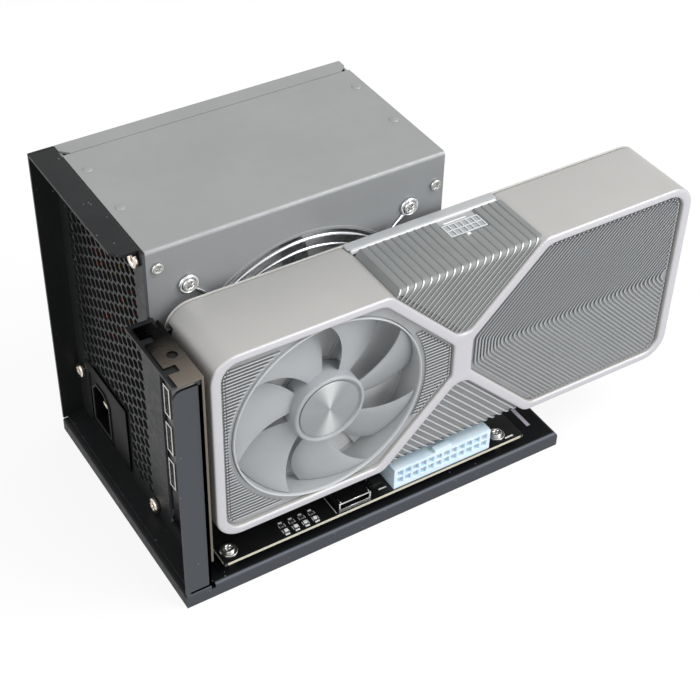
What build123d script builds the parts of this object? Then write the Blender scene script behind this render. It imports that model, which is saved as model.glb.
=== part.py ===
# Open graphics card enclosure: a folded tray and rear wall that carry a desktop power supply,
# a dock board and a two-slot graphics card. Millimetres, X along the card, Y to the back, Z up.
# The origin is the middle of the footprint, on the surface that the tray stands on.
import os
from math import cos, radians, sin, sqrt

from build123d import *

os.makedirs("parts", exist_ok=True)

# Sides of the small round forms, kept few where they repeat
head_sides = 8
shank_sides = 6
hub_sides = 21
ring_sides = 28
small_sides = 10

# Tray and wall, folded from sheet steel
sheet = 1.2
tray_height = 8.0
tray_reach = 186.5
tray_bend = 2.4
flange_depth = 12.0
wall_bend = 1.0
flange_start = 3.0
strip_gap = 2.0
strip_corner = 4.0
ledge_drop = 4.0
ledge_back = 2.2
relief = 2.0
comb_front = 9.0
comb_back = 10.0
comb_low = 9.0
comb_top = 6.0
comb_pitch = 15.6
comb_web = 2.7
flange_cut = 4.0
port_window_front = 3.0
port_window_back = 7.8
port_window_low = 8.0
port_window_top = 4.0
window_corner = 2.0
tie_slot_length = 14.0
tie_slot_width = 2.4
tie_slot_inset = 9.0
tie_slot_front = 11.0

# Power supply
supply_length = 140.0
supply_depth = 86.0
supply_height = 150.0
supply_sheet = 1.0
supply_bend = 1.8
lip_width = 8.6
lip_corner = 4.0
seam = 0.3
tab_width = 9.0
tab_height = 14.0
tab_end = 3.0
vent_side = 12.0
vent_top = 14.0
vent_rise = 8.0
vent_corner = 3.0
cable_hole_radius = 13.0
grommet_wall = 2.5
grommet_lip = 2.0

# Screws that hold the supply to the wall, near its corners
supply_screw_inset = 6.0
supply_screw_low = 30.0
supply_screw_head = 3.7
supply_screw_head_height = 2.4
supply_screw_radius = 1.7
supply_screw_length = 6.0
screw_clearance = 0.1

# Mains inlet
inlet_from_back = 28.0
inlet_up = 22.5
inlet_width = 20.0
inlet_height = 27.0
inlet_flange = 2.0
inlet_flange_depth = 2.0
inlet_depth = 17.0
inlet_wall = 1.8
inlet_chamfer = 4.5
pin_width = 4.0
pin_thickness = 2.0
pin_length = 11.0
pin_pitch = 7.0

# Supply fan and its wire guard
supply_fan_size = 120.0
supply_fan_depth = 25.0
supply_fan_corner = 6.0
supply_duct_wall = 0.5
supply_fan_spacing = 105.0
supply_fan_lift = 1.0
supply_fan_opening = 57.0
supply_hub_radius = 20.0
supply_blades = 7
guard_wire = 1.6
guard_sides = 16
guard_rings = 3
guard_eyelet = 4.6

# What fills the supply
supply_board_gap = 5.0
supply_board_margin = 6.0
supply_board_thickness = 1.6
spacer_radius = 3.0
spacer_inset = 8.0
transformer_size = (36.0, 26.0, 34.0)
coil_radius = 13.0
coil_bore = 6.0
coil_height = 12.0
capacitor_radius = 11.0
capacitor_length = 34.0
heatsink_length = 88.0
heatsink_depth = 34.0
heatsink_thickness = 3.0

# Dock board
board_length = 159.0
board_depth = 38.0
board_thickness = 1.6
board_left = 7.8
board_setback = 2.3
standoff_height = 5.0
standoff_radius = 3.2
board_screw_side = 5.2
board_screw_end = 11.2
board_screw_front = 6.2
board_screw_head = 4.0
board_screw_head_height = 2.4
board_screw_radius = 1.5
board_screw_length = 5.0

# Connectors on the dock board
slot_left = 42.0
slot_length = 89.0
slot_width = 7.4
slot_height = 11.2
slot_groove_depth = 8.0
slot_clearance = 0.1
header_from_end = 19.4
header_columns = 12
header_pitch = 4.2
header_wall = 1.2
header_foot = 1.0
header_web = 0.9
header_depth = 13.0
header_setback = 0.7
header_floor = 2.5
header_latch_width = 9.0
header_latch_depth = 3.0
header_latch_height = 1.8
header_chamfer = 2.0
port_gap = 12.0
port_width = 16.5
port_depth = 11.0
port_height = 4.6
port_shell = 0.5
port_setback = 1.6
tongue_thickness = 1.2
tongue_length = 8.0
lamp_lead = 26.8
lamp_pitch = 4.9
lamp_count = 4
lamp_front = 3.0
lamp_size = (1.6, 1.2, 0.8)
resistor_front = 6.5
resistor_size = (1.6, 0.9, 0.5)
chip_size = (5.0, 4.0, 1.6)

# Graphics card, seen from the front
card_gap = 3.8
card_depth = 39.7
card_clear = 24.5
card_length = 242.5
card_height = 99.0
card_left = 4.0
card_corner = 12.0
lobe_corner = 7.0
notch_half = 35.7
notch_corner = 5.0
frame_band = 3.8
frame_end_band = 4.4
waist_band = 10.0
opening_corner = 8.0
frame_edge = 1.4
backplate = 1.0

# Cooler
fin_setback = 1.2
fin_thickness = 0.9
side_fin_pitch = 9.0
chevron_pitch = 10.4
notch_fin_pitch = 5.6
cold_plate = 1.8
notch_plate = 1.6
notch_fin_edge = 4.0
fin_fit = 0.2
pipe_width = 8.0
pipe_thickness = 2.0
card_fan_from_end = 55.0
card_fan_depth = 15.0
card_fan_setback = 1.0
card_fan_ring = 0.8
card_fan_gap = 0.5
card_hub_radius = 17.0
card_blades = 7
fan_fit = 0.1
fan_base = 2.0
fan_struts = 3
strut_width = 4.0
hub_wall = 1.5
hub_gap = 0.6
blade_thickness = 1.2
blade_gap_deg = 7.4
blade_start_deg = 17.0
lead_sweep_middle_deg = 14.0
lead_sweep_root_deg = 23.0
trail_sweep_middle_deg = 9.0
trail_sweep_root_deg = 6.0
blade_camber = 1.5
shaft_radius = 1.5
shaft_clearance = 0.05
shaft_boss = 4.5
shaft_boss_height = 5.0

# Card board, bracket and sockets
card_board_gap = 2.5
card_board_thickness = 1.6
card_board_reach = 140.0
card_board_margin = 7.5
card_finger_left = 45.0
card_finger_length = 84.0
card_pocket_gap = 1.0
processor_size = 34.0
processor_thickness = 1.4
port_pocket_gap = 1.0
bracket_proud = 1.0
bracket_width = 38.7
bracket_thickness = 1.0
bracket_tip = 8.0
bracket_tab = 10.3
bracket_foot = 8.0
bracket_foot_width = 10.0
bracket_notch = 4.2
bracket_notch_depth = 5.0
bracket_notch_first = 9.5
bracket_hole_in = 6.6
bracket_hole_front = 17.2
bracket_step = 2.8
bracket_step_width = 3.7
slot_pitch = 20.32
bracket_hole_radius = 2.3
video_ports = 4
video_port_pitch = 21.0
video_port_length = 16.4
video_port_width = 5.6
video_port_depth = 13.0
video_port_shell = 0.9
video_port_low = 32.0
video_port_proud = 0.6
power_socket_length = 18.6
power_socket_width = 8.4
power_socket_depth = 9.0
power_socket_left = 4.8
power_socket_back = 10.2
power_socket_columns = 6
power_socket_wall = 0.7

# Positions that follow from the sizes above
card_reach = card_left + card_length
wall_x = (flange_depth - card_reach) / 2
lane = card_gap + card_depth
fan_y = (lane + bracket_proud - supply_depth) / 2
deck_z = tray_height
front_y = fan_y - lane
back_y = fan_y + supply_depth
card_back_y = fan_y - card_gap
card_top = card_clear + card_height
ledge_up = card_top - ledge_drop
left_x = wall_x - flange_depth
tray_length = flange_depth + tray_reach
tray_depth = lane + supply_depth
board_x = wall_x + board_left
board_y = front_y + board_setback
board_z = deck_z + standoff_height
board_top = board_z + board_thickness
card_mid = (wall_x + card_left + card_length / 2, front_y, deck_z + card_clear + card_height / 2)
card_board_front = card_back_y - backplate - card_board_gap - card_board_thickness
slot_mid_y = card_board_front + card_board_thickness / 2
inlet_back = supply_depth - inlet_from_back
supply_fan_up = supply_height / 2 + supply_fan_lift
screw_back = supply_depth - supply_screw_inset
screw_top = supply_height - supply_screw_inset
supply_screws = (
    (supply_screw_inset, supply_screw_inset),
    (supply_screw_inset, screw_top),
    (screw_back, supply_screw_low),
    (screw_back, screw_top),
)

# Planes: the wall seen from the card, the deck, and the card seen from the front
wall_plane = Plane(origin=(wall_x, fan_y, deck_z), x_dir=(0, 1, 0), z_dir=(1, 0, 0))
deck_plane = Plane.XY.offset(deck_z)
card_plane = Plane(origin=card_mid, x_dir=(1, 0, 0), z_dir=(0, -1, 0))
CORNER = (Align.MIN, Align.MIN)
CORNER_3D = (Align.MIN, Align.MIN, Align.MIN)


def write(piece, name):
    piece.part.label = name
    export_step(piece.part, f"parts/{name}.step")


def block(x, y, z, size_x, size_y, size_z, mode=Mode.ADD):
    # A box in the current part by its lowest corner
    with Locations((x, y, z)):
        Box(size_x, size_y, size_z, align=CORNER_3D, mode=mode)


def screw(head_radius, head_height, shank_radius, shank_length):
    # Pan head above the plane, shank below it
    with BuildPart() as part:
        with BuildSketch():
            RegularPolygon(head_radius, head_sides)
        extrude(amount=head_height)
        with BuildSketch():
            RegularPolygon(shank_radius, shank_sides)
        extrude(amount=-shank_length)
    return part.part


def screw_hole(shank_radius, mode=Mode.ADD):
    # Clearance hole for a screw, in the current sketch
    RegularPolygon(shank_radius + screw_clearance, shank_sides, mode=mode)


def polar(radius, degrees):
    return (radius * cos(radians(degrees)), radius * sin(radians(degrees)))


def blade(root_radius, tip_radius, span, depth):
    # One cambered blade about +X: an outline swept towards its tip, cut from a pitched sheet with a fold
    half = span / 2
    middle = (root_radius + tip_radius) / 2
    reach = 1.2 * tip_radius * sin(radians(half))
    low_side = []
    for step in (-1, 0, 1):
        pitch = step * (depth - blade_thickness) / 2
        camber = blade_camber * (1 - step**2)
        low_side.append((step * reach, pitch + camber - blade_thickness / 2))
    high_side = [(across, up + blade_thickness) for across, up in reversed(low_side)]
    with BuildPart() as part:
        with BuildSketch():
            with BuildLine():
                Polyline(
                    polar(root_radius, -half - trail_sweep_root_deg),
                    polar(middle, -half - trail_sweep_middle_deg),
                    polar(tip_radius, -half),
                    polar(tip_radius, -half / 3),
                    polar(tip_radius, half / 3),
                    polar(tip_radius, half),
                    polar(middle, half - lead_sweep_middle_deg),
                    polar(root_radius, half - lead_sweep_root_deg),
                    close=True,
                )
            make_face()
        extrude(amount=depth, both=True)
        with BuildSketch(Plane.YZ):
            with BuildLine():
                Polyline(*low_side, *high_side, close=True)
            make_face()
        extrude(amount=2 * tip_radius, mode=Mode.INTERSECT)
    return part.part


def fan_rotor(hub_radius, tip_radius, depth, blades):
    # Hub cup, its shaft and the blades; the axis is Z and the mount's back is at zero
    low = fan_base + hub_gap
    web = depth - hub_wall
    shaft_end = fan_base / 2
    blade_span = 360 / blades - blade_gap_deg
    one_blade = blade(hub_radius - hub_wall, tip_radius, blade_span, depth - low - 2 * hub_gap)
    with BuildPart() as part:
        with Locations((0, 0, (low + depth) / 2)):
            with PolarLocations(0, blades, start_angle=blade_start_deg):
                add(one_blade)
        with BuildSketch(Plane.XY.offset(low)):
            RegularPolygon(hub_radius, hub_sides)
        extrude(amount=depth - low)
        with BuildSketch(Plane.XY.offset(low)):
            RegularPolygon(hub_radius - hub_wall, small_sides)
        extrude(amount=web - low, mode=Mode.SUBTRACT)
        with BuildSketch(Plane.XY.offset(shaft_end)):
            RegularPolygon(shaft_radius, small_sides)
        extrude(amount=web - shaft_end)
    return part.part


def fan_base_and_struts(hub_radius, duct_radius):
    # Motor base, bearing boss and struts out to the duct
    with BuildPart() as part:
        with BuildSketch():
            RegularPolygon(hub_radius, hub_sides)
            with PolarLocations(0, fan_struts, start_angle=360 / fan_struts / 2):
                Rectangle(duct_radius, strut_width, align=(Align.MIN, Align.CENTER))
        extrude(amount=fan_base)
        with BuildSketch():
            RegularPolygon(shaft_boss, head_sides)
        extrude(amount=shaft_boss_height)
        with BuildSketch(Plane.XY.offset(fan_base / 2)):
            Circle(shaft_radius + shaft_clearance)
        extrude(amount=shaft_boss_height, mode=Mode.SUBTRACT)
    return part.part


# Tray: a shallow pan turned over, with a slot for a cable tie near its right edge
tray_mid = (left_x + tray_length / 2, front_y + tray_depth / 2)
with BuildPart() as base_tray:
    with BuildSketch():
        with Locations(tray_mid):
            Rectangle(tray_length, tray_depth)
    extrude(amount=tray_height)
    fillet(base_tray.faces().sort_by(Axis.Z)[-1].edges(), tray_bend)
    offset(amount=-sheet, openings=base_tray.faces().sort_by(Axis.Z)[0])
    with BuildSketch(deck_plane):
        tie_slot_y = front_y + tie_slot_front + tie_slot_length / 2
        with Locations((left_x + tray_length - tie_slot_inset, tie_slot_y)):
            Rectangle(tie_slot_width, tie_slot_length)
        with Locations((wall_x, front_y)):
            Rectangle(relief, 2 * tray_bend, align=(Align.MIN, Align.CENTER))
    extrude(amount=-2 * sheet, mode=Mode.SUBTRACT)
write(base_tray, "base_tray")

# Honeycomb of the wall, left out round the mains inlet
comb_cell = (comb_pitch - comb_web) / 2
column_step = comb_pitch * sqrt(3) / 2
comb_depth = supply_depth - comb_front - comb_back - 2 * comb_cell
comb_height = supply_height - comb_low - comb_top - 2 * comb_cell
inlet_clear_front = inlet_back - inlet_width / 2 - inlet_flange - comb_pitch
inlet_clear_top = inlet_up + inlet_height / 2 + inlet_flange + comb_pitch / 2
comb_cells = []
for column in range(int(comb_depth / column_step) + 1):
    back = comb_front + comb_cell + column * column_step
    for row in range(int(comb_height / comb_pitch) + 1):
        up = comb_low + comb_cell + (row + (column % 2) / 2) * comb_pitch
        beside_inlet = back > inlet_clear_front and up < inlet_clear_top
        if up <= comb_low + comb_cell + comb_height and not beside_inlet:
            comb_cells.append((back, up))

# Rear wall: one folded sheet with outward flanges, a honeycomb vent and a window for the card's sockets
with BuildPart() as rear_wall:
    with BuildSketch(wall_plane) as wall_outline:
        with BuildLine():
            Polyline(
                (-lane, 0),
                (supply_depth, 0),
                (supply_depth, supply_height),
                (0, supply_height),
                (0, ledge_up),
                (-lane, ledge_up),
                close=True,
            )
        make_face()
    extrude(amount=-sheet)
    # Back, top, ledge and foot flanges, then the strip in front of the sockets
    block(left_x, back_y - sheet, deck_z, flange_depth, sheet, supply_height)
    with BuildSketch(Plane(origin=(left_x, fan_y + flange_start, deck_z + supply_height - sheet))):
        top_flange = Rectangle(flange_depth, supply_depth - flange_start, align=CORNER)
        chamfer(top_flange.vertices().group_by(Axis.Y)[0].sort_by(Axis.X)[0], flange_cut)
    extrude(amount=sheet)
    block(left_x, front_y, deck_z + ledge_up - sheet, flange_depth, lane - ledge_back, sheet)
    block(left_x + relief, front_y, deck_z, flange_depth - relief, tray_depth, sheet)
    with BuildSketch(Plane(origin=(left_x, front_y, deck_z), x_dir=(1, 0, 0), z_dir=(0, -1, 0))):
        strip = Rectangle(flange_depth, ledge_up - sheet - strip_gap, align=CORNER)
        fillet(strip.vertices().group_by(Axis.Y)[-1].sort_by(Axis.X)[0], strip_corner)
    extrude(amount=-sheet)
    # Bends along the inner face
    bends = rear_wall.edges().filter_by_position(Axis.X, wall_x - 0.01, wall_x + 0.01)
    back_bend = bends.filter_by(Axis.Z).sort_by(Axis.Y)[-1]
    top_bend = bends.filter_by(Axis.Y).sort_by(Axis.Z)[-1]
    fillet([back_bend, top_bend], wall_bend)
    # Windows and screw holes
    with BuildSketch(wall_plane):
        with Locations(*comb_cells):
            RegularPolygon(comb_cell, 6, major_radius=False)
        with Locations((inlet_back, inlet_up)):
            Rectangle(inlet_width + 2 * inlet_flange + 2 * seam, inlet_height + 2 * inlet_flange + 2 * seam)
        with Locations((-lane + port_window_front, port_window_low)):
            port_window = Rectangle(
                lane - port_window_front - port_window_back,
                ledge_up - port_window_low - port_window_top,
                align=CORNER,
            )
        chamfer(port_window.vertices(), window_corner)
        with Locations(*supply_screws):
            screw_hole(supply_screw_radius)
        with Locations((supply_depth, 0)):
            Circle(relief)
    extrude(amount=-sheet, mode=Mode.SUBTRACT)
write(rear_wall, "rear_wall")

# Screws through the wall into the supply
with BuildPart() as supply_mount_screws:
    with Locations(wall_plane.offset(-sheet)):
        with Locations(*[Location((back, up, 0), (0, 180, 0)) for back, up in supply_screws]):
            add(screw(supply_screw_head, supply_screw_head_height, supply_screw_radius, supply_screw_length))
write(supply_mount_screws, "supply_mount_screws")

# Supply case: rear panel with a vent, back panel with its lips, cable panel and screw tabs
inner_height = supply_height - 2 * supply_sheet
panel_depth = supply_depth - supply_sheet
vent_low = inlet_up + inlet_height / 2 + vent_rise
supply_front_plane = Plane(origin=(wall_x, fan_y, deck_z), x_dir=(1, 0, 0), z_dir=(0, -1, 0))
spacer_points = [
    (side, up)
    for side in (spacer_inset, supply_length - spacer_inset)
    for up in (spacer_inset, supply_height - spacer_inset)
]
with BuildPart() as supply_case:
    block(wall_x, fan_y + supply_sheet, deck_z + supply_sheet, supply_sheet, panel_depth, inner_height)
    cable_x = wall_x + supply_length - supply_sheet
    block(cable_x, fan_y + supply_sheet, deck_z + supply_sheet, supply_sheet, panel_depth, inner_height)
    chamfer(supply_case.edges().filter_by(Axis.X).group_by(Axis.Y)[0], supply_bend - supply_sheet)
    block(wall_x, back_y - supply_sheet, deck_z, supply_length, supply_sheet, supply_height)
    for lip_z in (deck_z, deck_z + supply_height - supply_sheet):
        with BuildSketch(Plane.XY.offset(lip_z)):
            with Locations((wall_x, back_y - lip_width)):
                lip = Rectangle(supply_length, lip_width, align=CORNER)
            chamfer(lip.vertices().group_by(Axis.Y)[0], lip_corner)
        extrude(amount=supply_sheet)
    for tab_x in (wall_x, wall_x + supply_length - tab_width):
        for tab_z in (deck_z + tab_end, deck_z + supply_height - tab_end - tab_height):
            block(tab_x, fan_y + supply_sheet, tab_z, tab_width, supply_sheet, tab_height)
    with BuildSketch(wall_plane):
        with Locations((vent_side, vent_low)):
            vent = Rectangle(supply_depth - 2 * vent_side, supply_height - vent_top - vent_low, align=CORNER)
        chamfer(vent.vertices(), vent_corner)
        with Locations((inlet_back, inlet_up)):
            Rectangle(inlet_width, inlet_height)
        with Locations(*supply_screws):
            screw_hole(supply_screw_radius)
    extrude(amount=supply_sheet, mode=Mode.SUBTRACT)
    with BuildSketch(wall_plane.offset(supply_length)):
        with Locations((supply_depth / 2, supply_height / 2)):
            RegularPolygon(cable_hole_radius, small_sides)
    extrude(amount=-supply_sheet, mode=Mode.SUBTRACT)
write(supply_case, "supply_case")



def fan_holes():
    return GridLocations(supply_fan_spacing, supply_fan_spacing, 2, 2)


# Supply cover: fan face, top and bottom, bent from one sheet
cover_depth = supply_depth - lip_width - seam
fan_middle = (supply_length / 2, supply_fan_up)
with BuildPart() as supply_cover:
    block(wall_x, fan_y, deck_z, supply_length, cover_depth, supply_height)
    outer_edges = supply_cover.faces().sort_by(Axis.Y)[0].edges().filter_by(Axis.X)
    fillet(outer_edges, supply_bend)
    ends = supply_cover.faces().filter_by(Axis.X)
    rear_face = supply_cover.faces().sort_by(Axis.Y)[-1]
    offset(amount=-supply_sheet, openings=[*ends, rear_face])
    with BuildSketch(supply_front_plane):
        with Locations(fan_middle):
            RegularPolygon(supply_fan_opening, ring_sides)
    extrude(amount=-supply_sheet, mode=Mode.SUBTRACT)
write(supply_cover, "supply_cover")

# Supply fan: square frame with a round duct, its rotor and the wire guard over the opening
supply_fan_plane = Plane(
    origin=(wall_x + supply_length / 2, fan_y + supply_sheet + supply_fan_depth, deck_z + supply_fan_up),
    x_dir=(1, 0, 0),
    z_dir=(0, -1, 0),
)
supply_duct = supply_fan_opening + 1
with BuildPart() as supply_fan_body:
    with BuildSketch():
        plate = Rectangle(supply_fan_size, supply_fan_size)
        chamfer(plate.vertices(), supply_fan_corner)
        RegularPolygon(supply_duct, ring_sides, mode=Mode.SUBTRACT)
    extrude(amount=supply_fan_depth)
    add(fan_base_and_struts(supply_hub_radius, supply_duct + supply_duct_wall))
with BuildPart() as supply_fan_frame:
    with Locations(supply_fan_plane):
        add(supply_fan_body.part)
write(supply_fan_frame, "supply_fan_frame")

with BuildPart() as supply_fan_rotor:
    with Locations(supply_fan_plane):
        add(fan_rotor(supply_hub_radius, supply_duct - 2, supply_fan_depth - 1, supply_blades))
write(supply_fan_rotor, "supply_fan_rotor")

guard_reach = supply_fan_spacing / sqrt(2)
ring_step = supply_fan_opening / guard_rings
with BuildPart() as supply_fan_guard:
    with BuildSketch(supply_front_plane):
        with Locations(fan_middle):
            for ring in range(guard_rings, 0, -1):
                RegularPolygon(ring * ring_step - guard_wire, guard_sides)
                RegularPolygon(ring * ring_step - 2 * guard_wire, guard_sides, mode=Mode.SUBTRACT)
            with PolarLocations(0, 4, start_angle=45):
                with Locations((ring_step - 2 * guard_wire, 0)):
                    Rectangle(guard_reach - ring_step, guard_wire, align=(Align.MIN, Align.CENTER))
            with fan_holes():
                RegularPolygon(guard_eyelet, head_sides)
    extrude(amount=guard_wire)
write(supply_fan_guard, "supply_fan_guard")

# Mains inlet: flange outside the panel, body through it, and three blades in its socket
inlet_plane = wall_plane.offset(-inlet_flange_depth)
with BuildPart() as mains_inlet:
    with BuildSketch(inlet_plane):
        with Locations((inlet_back, inlet_up)):
            rim = Rectangle(inlet_width + 2 * inlet_flange, inlet_height + 2 * inlet_flange)
        chamfer(rim.vertices(), inlet_flange)
    extrude(amount=inlet_flange_depth)
    with BuildSketch(inlet_plane):
        with Locations((inlet_back, inlet_up)):
            Rectangle(inlet_width, inlet_height)
    extrude(amount=inlet_depth)
    with BuildSketch(inlet_plane):
        with Locations((inlet_back, inlet_up)):
            mouth = Rectangle(inlet_width - 2 * inlet_wall, inlet_height - 2 * inlet_wall)
        chamfer(mouth.vertices().group_by(Axis.Y)[-1], inlet_chamfer)
    extrude(amount=inlet_depth - inlet_wall, mode=Mode.SUBTRACT)
write(mains_inlet, "mains_inlet")

with BuildPart() as mains_pins:
    with BuildSketch(inlet_plane.offset(inlet_depth - inlet_wall)):
        with Locations((inlet_back, inlet_up)):
            for pin_up in (-pin_pitch, pin_pitch):
                with Locations((-pin_thickness, pin_up)):
                    Rectangle(pin_width, pin_thickness)
            with Locations((pin_thickness, 0)):
                Rectangle(pin_width, pin_thickness)
    extrude(amount=-pin_length)
write(mains_pins, "mains_pins")

with BuildPart() as cable_grommet:
    with BuildSketch(wall_plane.offset(supply_length)):
        with Locations((supply_depth / 2, supply_height / 2)):
            RegularPolygon(cable_hole_radius + grommet_lip, small_sides)
            RegularPolygon(cable_hole_radius - grommet_wall, small_sides, mode=Mode.SUBTRACT)
    extrude(amount=grommet_lip)
    with BuildSketch(wall_plane.offset(supply_length)):
        with Locations((supply_depth / 2, supply_height / 2)):
            RegularPolygon(cable_hole_radius, small_sides)
            RegularPolygon(cable_hole_radius - grommet_wall, small_sides, mode=Mode.SUBTRACT)
    extrude(amount=-supply_sheet - grommet_lip)
write(cable_grommet, "cable_grommet")

# Inside the supply: its board on spacers, with the parts that stand on it towards the fan
supply_board_y = back_y - supply_sheet - supply_board_gap - supply_board_thickness
supply_board_plane = Plane(origin=(wall_x, supply_board_y, deck_z), x_dir=(1, 0, 0), z_dir=(0, -1, 0))
with BuildPart() as supply_spacers:
    with BuildSketch(supply_board_plane.offset(-supply_board_thickness)):
        with Locations(*spacer_points):
            RegularPolygon(spacer_radius, 6)
    extrude(amount=-supply_board_gap)
write(supply_spacers, "supply_spacers")

with BuildPart() as supply_board:
    block(
        wall_x + supply_board_margin,
        supply_board_y,
        deck_z + supply_board_margin,
        supply_length - 2 * supply_board_margin,
        supply_board_thickness,
        supply_height - 2 * supply_board_margin,
    )
    front_edges = supply_board.edges().filter_by(Axis.Y)
    chamfer(front_edges, supply_board_thickness)
write(supply_board, "supply_board")

core_length, core_depth, winding_height = transformer_size
with BuildPart() as supply_transformer:
    with BuildSketch(supply_board_plane):
        with Locations((supply_length / 2, supply_height / 2)):
            Rectangle(core_length, winding_height / 2)
    extrude(amount=core_depth)
    with BuildSketch(supply_board_plane):
        with Locations((supply_length / 2, supply_height / 2)):
            Rectangle(core_length - winding_height / 4, winding_height)
    extrude(amount=core_depth - winding_height / 8)
write(supply_transformer, "supply_transformer")

coil_side = supply_sheet + coil_radius + supply_board_margin
with BuildPart() as supply_coils:
    with BuildSketch(supply_board_plane):
        for coil_drop in (4, 7):
            with Locations((coil_side, supply_height - coil_drop * coil_radius)):
                RegularPolygon(coil_radius, small_sides)
                RegularPolygon(coil_bore, small_sides, mode=Mode.SUBTRACT)
    extrude(amount=coil_height)
write(supply_coils, "supply_coils")

heatsink_side = supply_length / 2 + core_length / 2 + heatsink_thickness
capacitor_side = heatsink_side + heatsink_thickness + 1.5 * capacitor_radius
with BuildPart() as supply_capacitors:
    with BuildSketch(supply_board_plane):
        for capacitor_row in (-1.5, 1.5):
            with Locations((capacitor_side, supply_height / 2 + capacitor_row * capacitor_radius)):
                RegularPolygon(capacitor_radius, small_sides)
    extrude(amount=capacitor_length)
write(supply_capacitors, "supply_capacitors")

with BuildPart() as supply_heatsinks:
    with BuildSketch(supply_board_plane):
        for sink_side in (supply_length - heatsink_side, heatsink_side):
            with Locations((sink_side, supply_height / 2)):
                Rectangle(heatsink_thickness, heatsink_length)
    extrude(amount=heatsink_depth)
write(supply_heatsinks, "supply_heatsinks")

# Dock board on its standoffs
board_screw_points = [
    (board_x + along, board_y + back)
    for along in (board_screw_side, board_length - board_screw_end)
    for back in (board_screw_front, board_depth - board_screw_front)
]
with BuildPart() as board_standoffs:
    with BuildSketch(deck_plane):
        with Locations(*board_screw_points):
            RegularPolygon(standoff_radius, 6)
            screw_hole(board_screw_radius, Mode.SUBTRACT)
    extrude(amount=standoff_height)
write(board_standoffs, "board_standoffs")

with BuildPart() as dock_board:
    block(board_x, board_y, board_z, board_length, board_depth, board_thickness)
    with BuildSketch(Plane.XY.offset(board_z)):
        with Locations(*board_screw_points):
            screw_hole(board_screw_radius)
    extrude(amount=board_thickness, mode=Mode.SUBTRACT)
write(dock_board, "dock_board")

board_top_plane = Plane.XY.offset(board_top)
with BuildPart() as board_screws:
    with Locations(board_top_plane):
        with Locations(*board_screw_points):
            add(screw(board_screw_head, board_screw_head_height, board_screw_radius, board_screw_length))
write(board_screws, "board_screws")

# Slot that takes the card's edge
with BuildPart() as card_slot:
    slot_mid = (wall_x + slot_left + slot_length / 2, slot_mid_y)
    with BuildSketch(board_top_plane):
        with Locations(slot_mid):
            Rectangle(slot_length, slot_width)
    extrude(amount=slot_height)
    with BuildSketch(board_top_plane.offset(slot_height)):
        with Locations((wall_x + card_finger_left + card_finger_length / 2, slot_mid_y)):
            Rectangle(card_finger_length + 2 * slot_clearance, card_board_thickness + 2 * slot_clearance)
    extrude(amount=-slot_groove_depth, mode=Mode.SUBTRACT)
write(card_slot, "card_slot")

# Power header: two rows of sockets that open to the front, and a latch
header_length = header_columns * header_pitch + 2 * header_wall
header_height = 2 * header_pitch + 2 * header_wall
header_left = board_x + board_length - header_from_end - header_length
header_origin = (header_left, board_y + header_setback, board_top)
header_plane = Plane(origin=header_origin, x_dir=(1, 0, 0), z_dir=(0, -1, 0))
header_cell_mid = (header_length / 2, header_foot + header_height / 2)
with BuildPart() as power_header:
    block(*header_origin, header_length, header_depth, header_foot + header_height)
    with BuildSketch(header_plane):
        with Locations(header_cell_mid):
            with GridLocations(header_pitch, header_pitch, header_columns, 2):
                Rectangle(header_pitch - header_web, header_pitch - header_web)
    extrude(amount=-(header_depth - header_floor), mode=Mode.SUBTRACT)
    chamfer(power_header.edges().filter_by(Axis.Z).group_by(Axis.X)[-1].sort_by(Axis.Y)[-1], header_chamfer)
    block(
        header_origin[0] + (header_length - header_latch_width) / 2,
        header_origin[1],
        board_top + header_foot + header_height,
        header_latch_width,
        header_latch_depth,
        header_latch_height,
    )
write(power_header, "power_header")

# Data port: bent shell with a contact tongue
port_left = header_left - port_gap - port_width
port_origin = (port_left, board_y + port_setback, board_top)
port_plane = Plane(origin=port_origin, x_dir=(1, 0, 0), z_dir=(0, -1, 0))
with BuildPart() as data_port:
    block(*port_origin, port_width, port_depth, port_height)
    with BuildSketch(port_plane):
        with Locations((port_width / 2, port_height / 2)):
            Rectangle(port_width - 2 * port_shell, port_height - 2 * port_shell)
    extrude(amount=-(port_depth - port_shell), mode=Mode.SUBTRACT)
write(data_port, "data_port")

with BuildPart() as data_port_tongue:
    with BuildSketch(port_plane.offset(port_shell - port_depth)):
        with Locations((port_width / 2, port_height / 2)):
            Rectangle(port_width - port_height, tongue_thickness)
    extrude(amount=tongue_length)
write(data_port_tongue, "data_port_tongue")

# Small parts on the dock board
lamp_points = [port_left - lamp_lead + lamp * lamp_pitch for lamp in range(lamp_count)]
with BuildPart() as status_lamps:
    with Locations(*[(x, board_y + lamp_front, board_top) for x in lamp_points]):
        Box(*lamp_size, align=CORNER_3D)
write(status_lamps, "status_lamps")

with BuildPart() as resistors:
    with Locations(*[(x, board_y + resistor_front, board_top) for x in lamp_points]):
        Box(*resistor_size, align=CORNER_3D)
write(resistors, "resistors")

chip_points = [
    (header_origin[0] - 1.5 * chip_size[0], board_y + resistor_front, board_top),
    (header_origin[0] - 1.5 * chip_size[0], board_y + resistor_front + 1.5 * chip_size[1], board_top),
    (header_origin[0] + header_length + chip_size[0] / 2, board_y + header_depth, board_top),
]
with BuildPart() as control_chips:
    with Locations(*chip_points):
        Box(*chip_size, align=CORNER_3D)
write(control_chips, "control_chips")

# Graphics card frame: two lobes joined at a waist, with a notch above and below it
half_length = card_length / 2
half_height = card_height / 2
opening_half = half_height - frame_band
frame_depth = card_depth - backplate


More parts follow.
